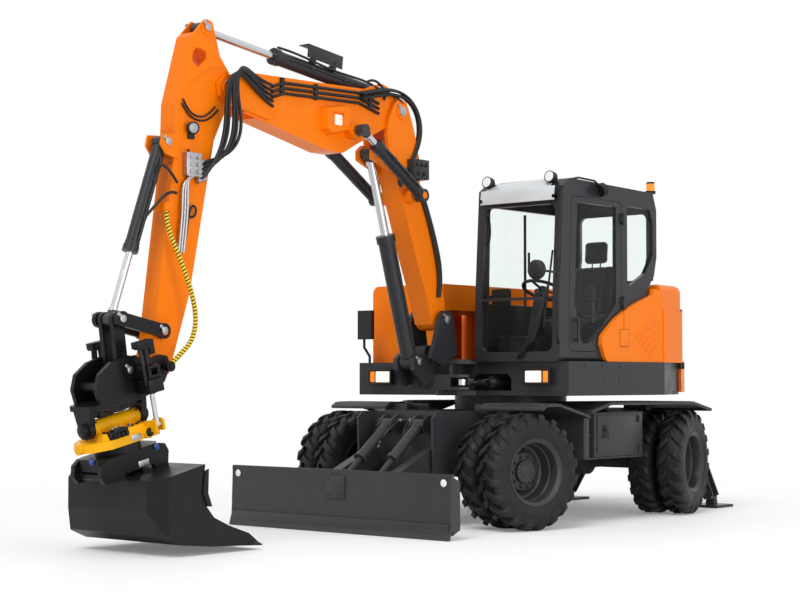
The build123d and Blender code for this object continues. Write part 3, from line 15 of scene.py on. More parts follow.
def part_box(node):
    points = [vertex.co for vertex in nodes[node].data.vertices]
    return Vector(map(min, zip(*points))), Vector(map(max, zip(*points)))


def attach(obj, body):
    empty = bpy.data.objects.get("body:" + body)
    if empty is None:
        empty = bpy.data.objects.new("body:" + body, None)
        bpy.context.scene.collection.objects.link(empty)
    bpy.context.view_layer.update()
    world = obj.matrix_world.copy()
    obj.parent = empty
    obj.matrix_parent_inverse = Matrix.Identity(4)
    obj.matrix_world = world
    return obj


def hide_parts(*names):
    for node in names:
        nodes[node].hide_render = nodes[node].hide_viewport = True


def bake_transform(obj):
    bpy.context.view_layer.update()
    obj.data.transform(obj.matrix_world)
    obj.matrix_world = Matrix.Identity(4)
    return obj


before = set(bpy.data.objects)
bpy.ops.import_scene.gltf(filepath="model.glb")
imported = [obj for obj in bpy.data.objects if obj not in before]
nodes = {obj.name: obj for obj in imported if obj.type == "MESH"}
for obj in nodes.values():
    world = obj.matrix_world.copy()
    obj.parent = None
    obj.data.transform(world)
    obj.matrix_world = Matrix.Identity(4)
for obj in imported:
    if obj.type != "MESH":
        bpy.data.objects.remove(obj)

scene = bpy.context.scene
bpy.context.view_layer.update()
ORIGIN_AHEAD = 1370.0


def spot(x, y, z):
    """A point of the drawing, in metres in the frame."""
    return Vector(((x - ORIGIN_AHEAD) / 1000, y / 1000, z / 1000))


def back(point):
    """A point of the frame, in the drawing's millimetres."""
    return tuple(point * 1000 + Vector((ORIGIN_AHEAD, 0, 0)))


def new_object(name, data):
    """An object that carries some data, in the scene."""
    item = bpy.data.objects.new(name, data)
    scene.collection.objects.link(item)
    return item


def solid_copy(item):
    """A mesh of an object as its curve settings or modifiers leave it."""
    return bpy.data.meshes.new_from_object(item.evaluated_get(bpy.context.evaluated_depsgraph_get()))


# %% [markdown]
# ## The camera
# The photograph was taken from the front left, a little above the wheels' height. The
# camera stands where the picture's perspective says, with a long lens and no shift.

# %% Camera
CAMERA_PLACE = (11.484, 9.684, 1.247)
CAMERA_YAW = 3.8513
CAMERA_RISE = 0.0446
camera_data = bpy.data.cameras.new("photo_camera")
camera_data.sensor_width = 36.0
camera_data.lens = 77.45
camera_data.clip_end = 200.0
camera = new_object("photo_camera", camera_data)
look = Vector((math.cos(CAMERA_RISE) * math.cos(CAMERA_YAW), math.cos(CAMERA_RISE) * math.sin(CAMERA_YAW),
               math.sin(CAMERA_RISE)))
camera.location = CAMERA_PLACE
camera.rotation_euler = look.to_track_quat("-Z", "Y").to_euler()
scene.camera = camera
scene.view_settings.view_transform = "Standard"
print("camera looks along", [round(value, 3) for value in look])

# %% [markdown]
# ## Node helpers
# A material is a small graph. These helpers make its nodes in one line each, and wire
# them by the names that the editor shows.


# %% Node helpers
def add_node(tree, kind, values=(), **settings):
    """A new node with settings, and values for its input sockets by name or number."""
    made = tree.nodes.new(kind)
    for key, value in settings.items():
        setattr(made, key, value)
    for socket, value in dict(values).items():
        made.inputs[socket].default_value = value
    return made


def connect(tree, wires):
    """Wires, each from a node's output to another node's input."""
    for source, output, target, socket in wires:
        tree.links.new(source.outputs[output], target.inputs[socket])


def new_group(name, inputs, outputs):
    """An empty shader group with its sockets, and its two end nodes."""
    group = bpy.data.node_groups.new(name, "ShaderNodeTree")
    for label, kind, value in inputs:
        socket = group.interface.new_socket(label, in_out="INPUT", socket_type=kind)
        socket.default_value = value
    for label, kind in outputs:
        group.interface.new_socket(label, in_out="OUTPUT", socket_type=kind)
    return group, group.nodes.new("NodeGroupInput"), group.nodes.new("NodeGroupOutput")


def new_material(name, values):
    """A material with values for its Principled shader, its tree and that shader."""
    material = bpy.data.materials.new(name)
    material.use_nodes = True
    shader = material.node_tree.nodes["Principled BSDF"]
    for socket, value in values.items():
        shader.inputs[socket].default_value = value
    return material, material.node_tree, shader


FLOAT, COLOUR, VECTOR = "NodeSocketFloat", "NodeSocketColor", "NodeSocketVector"

# %% [markdown]
# ## Shared effects
# Sprayed paint, cast iron and moulded plastic all have a fine skin: slow changes of
# shade, and a bump that is only seen in highlights. One group gives both. A second group
# lays road dust on whatever is low down, thickest near the ground and broken up by noise.

# %% Fine skin group
skin, skin_in, skin_out = new_group(
    "fine_skin", [("Grain", FLOAT, 300.0), ("Blotch", FLOAT, 3.0), ("Depth", FLOAT, 0.1)],
    [("Shade", FLOAT), ("Normal", VECTOR)])
skin_place = add_node(skin, "ShaderNodeTexCoord")
blotch = add_node(skin, "ShaderNodeTexNoise", {"Detail": 5.0, "Roughness": 0.6})
grain = add_node(skin, "ShaderNodeTexNoise", {"Detail": 2.0, "Roughness": 0.5})
skin_bump = add_node(skin, "ShaderNodeBump", {"Distance": 0.0012})
connect(skin, (
    (skin_place, "Object", blotch, "Vector"), (skin_place, "Object", grain, "Vector"),
    (skin_in, "Blotch", blotch, "Scale"), (skin_in, "Grain", grain, "Scale"),
    (skin_in, "Depth", skin_bump, "Strength"), (grain, "Fac", skin_bump, "Height"),
    (blotch, "Fac", skin_out, "Shade"), (skin_bump, "Normal", skin_out, "Normal"),
))
print("group", skin.name)

# %% Road dust group
dust, dust_in, dust_out = new_group(
    "road_dust", [("Clean", COLOUR, (0.05, 0.05, 0.05, 1)), ("Dust", COLOUR, (0.2, 0.18, 0.15, 1)),
                  ("Amount", FLOAT, 0.3), ("Reach", FLOAT, 1.2)],
    [("Color", COLOUR), ("Mask", FLOAT)])
dust_place = add_node(dust, "ShaderNodeTexCoord")
dust_height = add_node(dust, "ShaderNodeSeparateXYZ")
dust_fall = add_node(dust, "ShaderNodeMapRange", {"From Min": 0.0, "To Min": 1.0, "To Max": 0.0})
dust_noise = add_node(dust, "ShaderNodeTexNoise", {"Scale": 9.0, "Detail": 7.0, "Roughness": 0.7})
dust_break = add_node(dust, "ShaderNodeMapRange", {"From Min": 0.35, "From Max": 0.75})
dust_times = add_node(dust, "ShaderNodeMath", operation="MULTIPLY")
dust_scaled = add_node(dust, "ShaderNodeMath", operation="MULTIPLY", use_clamp=True)
dust_mix = add_node(dust, "ShaderNodeMix", data_type="RGBA")
connect(dust, (
    (dust_place, "Object", dust_height, "Vector"), (dust_place, "Object", dust_noise, "Vector"),
    (dust_height, "Z", dust_fall, "Value"), (dust_in, "Reach", dust_fall, "From Max"),
    (dust_noise, "Fac", dust_break, "Value"), (dust_fall, "Result", dust_times, 0),
    (dust_break, "Result", dust_times, 1), (dust_times, "Value", dust_scaled, 0),
    (dust_in, "Amount", dust_scaled, 1), (dust_scaled, "Value", dust_mix, "Factor"),
    (dust_in, "Clean", dust_mix, 6), (dust_in, "Dust", dust_mix, 7), (dust_mix, 2, dust_out, "Color"),
    (dust_scaled, "Value", dust_out, "Mask"),
))
print("group", dust.name)

# %% [markdown]
# ## Finishes
# Every hard finish is one Principled shader. Its colour goes through the dust, its
# roughness follows the slow shade, and its normal comes from the fine skin. What differs
# from paint to rubber is a row of numbers.


# %% Finish builder
def finish_material(name, colour, rough=(0.3, 0.45), metallic=0.0, coat=0.0, specular=0.5, grain=300.0,
                    depth=0.08, blotch=3.0, dusty=0.2, reach=1.2, shade=0.12,
                    dust_colour=(0.16, 0.145, 0.12)):
    """A hard finish: rough gives its lowest and highest roughness, shade how far its colour varies."""
    material, tree, shader = new_material(name, {
        "Metallic": metallic, "Specular IOR Level": specular, "Coat Weight": coat, "Coat Roughness": 0.12})
    surface = add_node(tree, "ShaderNodeGroup", {"Grain": grain, "Blotch": blotch, "Depth": depth},
                       node_tree=skin)
    film = add_node(tree, "ShaderNodeGroup", {"Dust": (*dust_colour, 1), "Amount": dusty, "Reach": reach},
                    node_tree=dust)
    tone = add_node(tree, "ShaderNodeMix", {6: (*[part * (1 - shade) for part in colour], 1),
                                            7: (*[min(1, part * (1 + shade)) for part in colour], 1)},
                    data_type="RGBA")
    gloss = add_node(tree, "ShaderNodeMapRange", {"From Min": 0.3, "From Max": 0.7, "To Min": rough[0],
                                                  "To Max": rough[1]})
    connect(tree, (
        (surface, "Shade", tone, "Factor"), (tone, 2, film, "Clean"), (film, "Color", shader, "Base Color"),
        (surface, "Shade", gloss, "Value"), (gloss, "Result", shader, "Roughness"),
        (surface, "Normal", shader, "Normal"),
    ))
    return material


# %% Paints, metals, rubber and plastic
finishes = {}
for row in (
    # name, colour, other values
    ("orange_paint", (0.95, 0.205, 0.002), dict(rough=(0.26, 0.4), specular=0.16, dusty=0.0, depth=0.05,
                                                shade=0.04)),
    ("dark_paint", (0.024, 0.025, 0.029), dict(rough=(0.3, 0.46), specular=0.3, dusty=0.08, depth=0.06)),
    ("frame_paint", (0.036, 0.037, 0.042), dict(rough=(0.3, 0.46), specular=0.3, dusty=0.1, depth=0.06)),
    ("black_paint", (0.006, 0.006, 0.0065), dict(rough=(0.26, 0.45), specular=0.24, dusty=0.05, depth=0.1)),
    ("yellow_paint", (0.92, 0.44, 0.004), dict(rough=(0.26, 0.42), specular=0.2, dusty=0.0, depth=0.12,
                                               shade=0.06)),
    ("chrome", (0.62, 0.63, 0.65), dict(rough=(0.08, 0.2), metallic=1.0, dusty=0.0, depth=0.02, blotch=20.0,
                                        shade=0.05)),
    ("zinc", (0.45, 0.45, 0.46), dict(rough=(0.28, 0.5), metallic=1.0, dusty=0.0, depth=0.12, blotch=40.0)),
    ("worn_steel", (0.22, 0.215, 0.21), dict(rough=(0.3, 0.55), metallic=1.0, dusty=0.1, depth=0.4,
                                             blotch=30.0)),
    ("cast_iron", (0.05, 0.05, 0.052), dict(rough=(0.6, 0.8), dusty=0.2, depth=0.6, grain=160.0)),
    ("tyre_rubber", (0.008, 0.008, 0.009), dict(rough=(0.42, 0.7), specular=0.3, dusty=0.07, reach=1.0,
                                                depth=0.3, grain=220.0)),
    ("black_rubber", (0.009, 0.009, 0.010), dict(rough=(0.36, 0.55), specular=0.35, dusty=0.0, depth=0.15,
                                                 grain=500.0)),
    ("black_plastic", (0.012, 0.012, 0.013), dict(rough=(0.42, 0.58), specular=0.3, dusty=0.04, depth=0.4,
                                                  grain=700.0)),
    ("rim_paint", (0.030, 0.031, 0.035), dict(rough=(0.3, 0.46), specular=0.35, dusty=0.1, depth=0.1)),
    ("blue_fitting", (0.02, 0.09, 0.4), dict(rough=(0.3, 0.5), dusty=0.0, depth=0.1)),
    ("pale_panel", (0.62, 0.66, 0.68), dict(rough=(0.12, 0.24), specular=0.5, coat=0.3, dusty=0.0, depth=0.03,
                                            shade=0.05)),
    ("reflector", (0.85, 0.86, 0.87), dict(rough=(0.2, 0.3), dusty=0.0, depth=0.5, grain=400.0, shade=0.04)),
    ("grey_display", (0.06, 0.075, 0.085), dict(rough=(0.08, 0.16), dusty=0.0, depth=0.02)),
):
    finishes[row[0]] = finish_material(row[0], row[1], **row[2])
print(len(finishes), "hard finishes")

# %% [markdown]
# Glass is the plain case: full transmission, nearly no roughness and a grey-green tint.
# Lamp lenses glow a little, so that they read as lamps in soft studio light.


# %% Glass and lenses
def clear_material(name, tint, rough, transmission, glow=0.0, glow_colour=(1, 1, 1), index=1.45):
    """A see-through finish with a faint ripple in its normal."""
    material, tree, shader = new_material(name, {
        "Base Color": (*tint, 1), "Roughness": rough, "Transmission Weight": transmission, "IOR": index,
        "Emission Color": (*glow_colour, 1), "Emission Strength": glow})
    surface = add_node(tree, "ShaderNodeGroup", {"Grain": 6.0, "Depth": 0.02}, node_tree=skin)
    connect(tree, (
        (surface, "Normal", shader, "Normal"),
    ))
    return material


finishes["window_glass"] = clear_material("window_glass", (0.93, 0.965, 0.95), 0.0, 1.0, index=1.13)
finishes["white_lens"] = clear_material("white_lens", (0.9, 0.9, 0.88), 0.12, 0.5, 0.4)
finishes["warm_lens"] = clear_material("warm_lens", (0.95, 0.9, 0.78), 0.12, 0.3, 0.75, (1.0, 0.86, 0.66))
finishes["amber_lens"] = clear_material("amber_lens", (0.95, 0.30, 0.01), 0.12, 0.3, 0.45, (1.0, 0.32, 0.02))
finishes["mirror_face"] = clear_material("mirror_face", (0.35, 0.37, 0.39), 0.05, 0.0)
print("clear finishes ready")

# %% [markdown]
# The seat is woven cloth. Two wave patterns at right angles make the threads: their
# height gives the bump, and the same pattern paints shade into the gaps between threads.

# %% Seat cloth
cloth, cloth_tree, cloth_shader = new_material("seat_cloth", {"Roughness": 0.85, "Sheen Weight": 0.15})
cloth_place = add_node(cloth_tree, "ShaderNodeTexCoord")
warp = add_node(cloth_tree, "ShaderNodeTexWave", {"Scale": 160.0, "Distortion": 0.4}, bands_direction="Z")
weft = add_node(cloth_tree, "ShaderNodeTexWave", {"Scale": 160.0, "Distortion": 0.4}, bands_direction="Y")
thread = add_node(cloth_tree, "ShaderNodeMath", operation="MULTIPLY")
# The dark end of this mix is painted shade in the gaps between threads.
cloth_gap_shade = add_node(cloth_tree, "ShaderNodeMix", {6: (0.005, 0.005, 0.006, 1), 7: (0.022, 0.022, 0.025, 1)},
                      data_type="RGBA")
cloth_bump = add_node(cloth_tree, "ShaderNodeBump", {"Strength": 0.5, "Distance": 0.001})
connect(cloth_tree, (
    (cloth_place, "Object", warp, "Vector"), (cloth_place, "Object", weft, "Vector"),
    (warp, "Fac", thread, 0), (weft, "Fac", thread, 1), (thread, "Value", cloth_gap_shade, "Factor"),
    (cloth_gap_shade, 2, cloth_shader, "Base Color"), (thread, "Value", cloth_bump, "Height"),
    (cloth_bump, "Normal", cloth_shader, "Normal"),
))
finishes["seat_cloth"] = cloth
print("seat cloth ready")

# %% [markdown]
# The protective wrap on the rotator's hose is bright plastic tape, wound in a spiral.
# Its own grain is fine; the spiral itself is modelled further down.

# %% Hose wrap finish
finishes["yellow_wrap"] = finish_material("yellow_wrap", (0.85, 0.58, 0.015), rough=(0.3, 0.45), dusty=0.0,
                                          grain=400.0)

# %% [markdown]
# A cylinder's rod is polished chrome, but the eye welded to its end is painted. Both are
# one solid, so one group measures how far a point is from the eye's pin, and its mask
# turns paint into chrome where the eye ends.

# %% Painted eyes
eye_group, eye_in, eye_out = new_group("rod_eye", [("Pin", VECTOR, (0, 0, 0)), ("Reach", FLOAT, 0.07)],
                                       [("Mask", FLOAT)])
eye_place = add_node(eye_group, "ShaderNodeTexCoord")
eye_from = add_node(eye_group, "ShaderNodeVectorMath", operation="SUBTRACT")
eye_flat = add_node(eye_group, "ShaderNodeVectorMath", {1: (1, 0, 1)}, operation="MULTIPLY")
eye_far = add_node(eye_group, "ShaderNodeVectorMath", operation="LENGTH")
eye_edge = add_node(eye_group, "ShaderNodeMath", operation="GREATER_THAN")
connect(eye_group, (
    (eye_place, "Object", eye_from, 0), (eye_in, "Pin", eye_from, 1), (eye_from, "Vector", eye_flat, 0),
    (eye_flat, "Vector", eye_far, 0), (eye_far, "Value", eye_edge, 0), (eye_in, "Reach", eye_edge, 1),
    (eye_edge, "Value", eye_out, "Mask"),
))


def rod_material(name, pin, reach, paint=(0.024, 0.025, 0.029)):
    """Chrome that turns to paint within reach of the eye's pin."""
    material = finish_material(name, (0.62, 0.63, 0.65), rough=(0.08, 0.2), dusty=0.0, depth=0.02,
                               blotch=20.0, shade=0.05)
    tree = material.node_tree
    shader = tree.nodes["Principled BSDF"]
    polished = shader.inputs["Base Color"].links[0].from_socket
    ground = shader.inputs["Roughness"].links[0].from_socket
    mask = add_node(tree, "ShaderNodeGroup", {"Pin": spot(*pin), "Reach": reach}, node_tree=eye_group)
    colour = add_node(tree, "ShaderNodeMix", {6: (*paint, 1)}, data_type="RGBA")
    rough = add_node(tree, "ShaderNodeMix", {2: 0.42}, data_type="FLOAT")
    tree.links.new(polished, colour.inputs[7])
    tree.links.new(ground, rough.inputs[3])
    connect(tree, (
        (mask, "Mask", colour, "Factor"), (mask, "Mask", rough, "Factor"), (colour, 2, shader, "Base Color"),
        (rough, 0, shader, "Roughness"), (mask, "Mask", shader, "Metallic"),
    ))
    return material


LIFT_HEAD = (1980, 0, 3170)
ADJUST_HEAD = (2356, 262, 3311)
ARM_CYLINDER_FOOT = (1935, 0, 3697)
ARM_HEAD = (3935, 0, 3938)
BUCKET_HEAD = (4790, 0, 1690)
for rod_name, pin, reach in (("lift_rod", LIFT_HEAD, 0.075), ("adjust_rods", ADJUST_HEAD, 0.07),
                             ("arm_rod", ARM_HEAD, 0.075), ("bucket_rod", BUCKET_HEAD, 0.07),
                             ("blade_rods", (2130, 180, 400), 0.06)):
    finishes[rod_name] = rod_material(rod_name + "_finish", pin, reach)
print("rods with painted eyes ready")

# %% [markdown]
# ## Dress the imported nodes
# Each CAD node keeps its shape, and gets the finish of its real piece. Names that share
# a beginning share a finish, so a short table covers all sixty.

# %% Finishes of the nodes
NODE_FINISH = [
    # how the node's name begins, finish
    ("rim_", "rim_paint"), ("blade", "frame_paint"), ("chassis", "frame_paint"), ("tyre_", "tyre_rubber"),
    ("boom_hoses", "black_rubber"), ("boom_", "orange_paint"),
    ("arm_barrel", "dark_paint"), ("arm_rod", "arm_rod"), ("arm", "orange_paint"), ("hood", "orange_paint"),
    ("counterweight", "orange_paint"), ("adjust_rods", "adjust_rods"), ("blade_rods", "blade_rods"),
    ("bucket_rod", "bucket_rod"),
    ("lift_rod", "lift_rod"), ("swing_rod", "chrome"), ("leg_rod", "chrome"), ("tilt_rod", "chrome"),
    ("bucket_barrel", "dark_paint"), ("bucket", "black_paint"), ("hitch", "black_paint"),
    ("coupler", "black_paint"),
    ("tilt_head", "yellow_paint"), ("tilt_barrel", "black_paint"), ("side_links", "black_paint"),
    ("h_link", "black_paint"),
    ("cab_glass", "window_glass"), ("door_glass", "window_glass"), ("cab_fittings", "black_plastic"),
    ("engine_block", "cast_iron"), ("axles", "cast_iron"), ("seat", "seat_cloth"),
    ("hose_bundle", "yellow_wrap"),
]
for name, item in nodes.items():
    wanted = next((finish for start, finish in NODE_FINISH if name.startswith(start)), "dark_paint")
    item.data.materials.clear()
    item.data.materials.append(finishes[wanted])
print("finished", len(nodes), "nodes")

# %% [markdown]
# ## Tools for small steelwork
# Small pieces are gathered by body and finish: all bolts of the blade are one mesh.
# `surface` finds where a straight line first meets a node, so a bolt head sits exactly
# on the plate that carries it. `seat_frame` turns a shape's own Z axis along a direction.


# %% Modelling helpers
depsgraph = bpy.context.evaluated_depsgraph_get()
trees = {}


def surface(names, start, toward):
    """Where a line from start first meets one of these nodes."""
    found = []
    for name in names:
        if name not in trees:
            trees[name] = BVHTree.FromObject(nodes[name], depsgraph)
        hit, _, _, distance = trees[name].ray_cast(start, Vector(toward).normalized())
        if hit is not None:
            found.append((distance, hit))
    if not found:
        raise RuntimeError(f"no surface of {names} from {tuple(start)} toward {tuple(toward)}")
    return min(found, key=lambda item: item[0])[1]


def seat_frame(where, axis, roll=0.0):
    """A matrix that stands a shape on a point, with its Z along axis."""
    turn = Vector(axis).to_track_quat("Z", "Y").to_matrix().to_4x4()
    return Matrix.Translation(where) @ turn @ Matrix.Rotation(roll, 4, "Z")


def round_off(mesh, edges, amount, steps=2):
    bmesh.ops.bevel(mesh, geom=edges, offset=amount, offset_type="OFFSET", affect="EDGES", segments=steps,
                    profile=0.5, material=-1, clamp_overlap=True)


def add_disc(mesh, where, axis, radius, height, edge=0.0015, sides=28, roll=0.0):
    """A disc or a hexagon head that stands on a point, with its outer edge rounded."""
    made = bmesh.ops.create_cone(mesh, cap_ends=True, segments=sides, radius1=radius, radius2=radius,
                                 depth=height,
                                 matrix=Matrix.Translation((0, 0, height / 2)))
    top = [corner for corner in made["verts"] if corner.co.z > height * 0.9]
    rim = [edge_ for edge_ in mesh.edges if edge_.verts[0] in top and edge_.verts[1] in top]
    corners = made["verts"]
    if edge:
        before = set(mesh.verts)
        round_off(mesh, rim, edge)
        corners = [corner for corner in mesh.verts if corner not in before or corner in set(made["verts"])]
    bmesh.ops.transform(mesh, matrix=seat_frame(where, axis, roll), verts=[c for c in corners if c.is_valid])


def add_block(mesh, middle, size, edge=0.002, turn=None, steps=2):
    """A box of a size round a middle, turned by a matrix, with all its edges rounded."""
    part = bmesh.new()
    bmesh.ops.create_cube(part, size=1.0, matrix=Matrix.Diagonal((*size, 1)))
    if edge:
        round_off(part, part.edges[:], edge, steps)
    place = Matrix.Translation(middle) @ (turn or Matrix.Identity(4))
    bmesh.ops.transform(part, matrix=place, verts=part.verts[:])
    join(mesh, part)


def join(mesh, part):
    """Copies one working mesh into another and frees it."""
    carrier = bpy.data.meshes.new("carrier")
    part.to_mesh(carrier)
    part.free()
    mesh.from_mesh(carrier)
    bpy.data.meshes.remove(carrier)


def spun(profile, steps):
    """A working mesh of (radius, height) points spun round Z, closed to a shell."""
    part = bmesh.new()
    line = [part.verts.new((radius, 0, height)) for radius, height in profile]
    for first, second in zip(line, line[1:]):
        part.edges.new((first, second))
    bmesh.ops.spin(part, geom=part.verts[:] + part.edges[:], cent=(0, 0, 0), axis=(0, 0, 1), dvec=(0, 0, 0),
                   angle=2 * math.pi, steps=steps, use_merge=True, use_normal_flip=False, use_duplicate=False)
    bmesh.ops.remove_doubles(part, verts=part.verts[:], dist=1e-6)
    bmesh.ops.recalc_face_normals(part, faces=part.faces[:])
    return part


def add_turned(mesh, profile, where, axis, steps=40):
    """A turned piece that stands on a point, along an axis."""
    part = spun(profile, steps)
    bmesh.ops.transform(part, matrix=seat_frame(where, axis), verts=part.verts[:])
    join(mesh, part)


def finish_piece(name, mesh, finish, body, smooth=40.0):
    """Turns a working mesh into an object that rides on a body."""
    data = bpy.data.meshes.new(name)
    mesh.to_mesh(data)
    mesh.free()
    data.materials.append(finishes[finish])
    data.shade_smooth()
    item = new_object(name, data)
    data.set_sharp_from_angle(angle=math.radians(smooth))
    if body:
        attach(item, body)
    print(f"{name}: {len(data.polygons)} faces, {finish}, on {body}")
    return item


def round_curve(name, rows, radius, finish, kind="NURBS", order=4, steps=6, ring=3):
    """A curve of round section along rows of control points, given in the frame's metres."""
    curve = bpy.data.curves.new(name, "CURVE")
    curve.dimensions = "3D"
    curve.resolution_u = steps
    curve.bevel_depth = radius
    curve.bevel_resolution = ring
    curve.use_fill_caps = True
    for row in rows:
        line = curve.splines.new(kind)
        line.points.add(len(row) - 1)
        for control, place in zip(line.points, row):
            control.co = (*place, 1)
        if kind == "NURBS":
            line.order_u = min(order, len(row))
            line.use_endpoint_u = True
    curve.materials.append(finishes[finish])
    return new_object(name, curve)


def hose(name, points, radius, finish, body):
    """A hose or pipe as a smooth curve along its control points, given in drawing millimetres."""
    item = round_curve(name, [[spot(*place) for place in row] for row in points], radius, finish)
    if body:
        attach(item, body)
    print(f"{name}: {len(points)} lines, on {body}")
    return item


SIDES = (("left", 1), ("right", -1))
print("helpers ready")

# %% [markdown]
# ## The rotator's hose
# A hydraulic hose hangs from the arm to the swivel at the bucket's pin, wrapped in yellow
# tape. Its line is one smooth curve with the route's own control points. The hose is
# black, and the wrap winds round it as a thick coil, which leaves a thin dark gap.

# %% Hose route and tube
HOSE_ROUTE = [
    (4372, 125, 2499.7), (4372, 125, 2390), (4300, 205, 2140), (4212, 240, 1880),
    (4172, 240, 1690), (4215, 238, 1540), (4310, 228, 1448), (4384, 215, 1380),
]
HOSE_RADIUS = 0.0165
rotator_hose = round_curve("rotator_hose", [[spot(*place) for place in HOSE_ROUTE]], HOSE_RADIUS,
                           "black_rubber", order=3, steps=12, ring=4)

# %% Hose wrap
bare = rotator_hose.data.copy()
bare.bevel_depth = 0.0
bare_item = new_object("bare_route", bare)
bpy.context.view_layer.update()
route_points = [corner.co.copy() for corner in solid_copy(bare_item).vertices]
bpy.data.objects.remove(bare_item)
WRAP_PITCH = 0.026
WRAP_STEPS = 14
WRAP_COIL_R = 0.0100
WRAP_STRAND_R = 0.0106
samples = []
travel = 0.0
side_way = Vector((0, 1, 0))
for a, b in zip(route_points, route_points[1:]):
    run = (b - a).length
    ahead = (b - a).normalized()
    side_way = (side_way - ahead * side_way.dot(ahead)).normalized()
    third = ahead.cross(side_way)
    count = max(1, round(run / WRAP_PITCH * WRAP_STEPS))
    for index in range(count):
        share = index / count
        angle = 2 * math.pi * (travel + run * share) / WRAP_PITCH
        samples.append(a.lerp(b,
                              share) + (side_way * math.cos(angle) + third * math.sin(angle)) * WRAP_COIL_R)
    travel += run
hose_wrap = round_curve("hose_wrap", [samples], WRAP_STRAND_R, "yellow_wrap", kind="POLY", steps=12, ring=2)

# %% Swivel at the bucket's pin
swivel_mesh = bmesh.new()
add_turned(swivel_mesh, [(0.0215, -0.022), (0.036, -0.022), (0.040, -0.018), (0.040, 0.018), (0.036, 0.022),
                         (0.0215, 0.022), (0.0215, -0.022)], spot(4411, 215, 1353), (0, 1, 0))
hose_swivel = finish_piece("hose_swivel", swivel_mesh, "black_paint", "arm")
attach(rotator_hose, "arm")
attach(hose_wrap, "arm")
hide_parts("hose_bundle")

# %% [markdown]
# ## Studio
# The floor is a pale sheet that keeps the machine's shadow. For the camera alone it also
# glows a little, and far away it turns plain white, so that floor and sky meet unseen.
# The sky is white for camera, glossy and transmitted rays, and gentler as a light.

# %% Floor
floor_mesh = bmesh.new()
bmesh.ops.create_circle(floor_mesh, cap_ends=True, segments=96, radius=70.0)
bmesh.ops.translate(floor_mesh, vec=(0, 0, -0.0005), verts=floor_mesh.verts[:])
floor_finish, floor_tree, floor_shader = new_material("studio_floor", {
    "Base Color": (0.86, 0.86, 0.86, 1), "Roughness": 0.6, "Specular IOR Level": 0.15})
floor_out = floor_tree.nodes["Material Output"]
floor_place = add_node(floor_tree, "ShaderNodeTexCoord")
floor_far = add_node(floor_tree, "ShaderNodeVectorMath", operation="LENGTH")
floor_fade = add_node(floor_tree, "ShaderNodeMapRange", {"From Min": 4.2, "From Max": 9.0},
                      interpolation_type="SMOOTHSTEP")
floor_rays = add_node(floor_tree, "ShaderNodeLightPath")
floor_camera = add_node(floor_tree, "ShaderNodeMath", operation="MULTIPLY")
floor_lift = add_node(floor_tree, "ShaderNodeMath", {1: 0.16}, operation="MULTIPLY")
floor_glow = add_node(floor_tree, "ShaderNodeEmission", {"Color": (1, 1, 1, 1)})
floor_white = add_node(floor_tree, "ShaderNodeEmission", {"Color": (1, 1, 1, 1), "Strength": 1.0})
floor_sum = add_node(floor_tree, "ShaderNodeAddShader")
floor_mix = add_node(floor_tree, "ShaderNodeMixShader")
connect(floor_tree, (
    (floor_place, "Object", floor_far, "Vector"), (floor_far, "Value", floor_fade, "Value"),
    (floor_fade, "Result", floor_camera, 0), (floor_rays, "Is Camera Ray", floor_camera, 1),
    (floor_rays, "Is Camera Ray", floor_lift, 0), (floor_lift, "Value", floor_glow, "Strength"),
    (floor_shader, "BSDF", floor_sum, 0), (floor_glow, "Emission", floor_sum, 1),
    (floor_camera, "Value", floor_mix, "Fac"), (floor_sum, "Shader", floor_mix, 1),
    (floor_white, "Emission", floor_mix, 2), (floor_mix, "Shader", floor_out, "Surface"),
))
finishes["studio_floor"] = floor_finish
studio_floor = finish_piece("studio_floor", floor_mesh, "studio_floor", None)

# %% Sky and lamps
world = bpy.data.worlds.new("studio")
world.use_nodes = True
scene.world = world
sky_tree = world.node_tree
sky_soft = sky_tree.nodes["Background"]
sky_soft.inputs["Color"].default_value = (1.0, 1.0, 1.0, 1)
sky_soft.inputs["Strength"].default_value = 0.55
sky_white = add_node(sky_tree, "ShaderNodeBackground", {"Color": (1, 1, 1, 1), "Strength": 1.0})
sky_rays = add_node(sky_tree, "ShaderNodeLightPath")
sky_some = add_node(sky_tree, "ShaderNodeMath", operation="MAXIMUM")
sky_seen = add_node(sky_tree, "ShaderNodeMath", operation="MAXIMUM")
sky_mix = add_node(sky_tree, "ShaderNodeMixShader")
connect(sky_tree, (
    (sky_rays, "Is Camera Ray", sky_some, 0), (sky_rays, "Is Transmission Ray", sky_some, 1),
    (sky_some, "Value", sky_seen, 0), (sky_rays, "Is Glossy Ray", sky_seen, 1),
    (sky_seen, "Value", sky_mix, "Fac"), (sky_soft, "Background", sky_mix, 1),
    (sky_white, "Background", sky_mix, 2), (sky_mix, "Shader", sky_tree.nodes["World Output"], "Surface"),
))


def lamp(name, kind, place, target, energy, size):
    """A soft lamp that looks at a target."""
    data = bpy.data.lights.new(name, kind)
    data.energy = energy
    if kind == "SUN":
        data.angle = size
    else:
        data.size = size
    item = new_object(name, data)
    item.location = place
    item.rotation_euler = (Vector(target) - Vector(place)).to_track_quat("-Z", "Y").to_euler()
    return item


lamp("key", "SUN", (6.0, 1.5, 9.0), (0, 0, 1.0), 1.45, 0.5)
lamp("side_fill", "AREA", (3.0, 9.0, 3.0), (0, 0, 1.5), 260.0, 5.0)
print("studio ready")

# %% [markdown]
# ## Tyres
# Each axle end carries two narrow tyres on one rim. A tyre is a turned carcass with
# rounded shoulders, and a tread of slanting lugs that run from the middle over the
# shoulder. One lug is bent out of a subdivided box; a spin repeats it round the tyre.

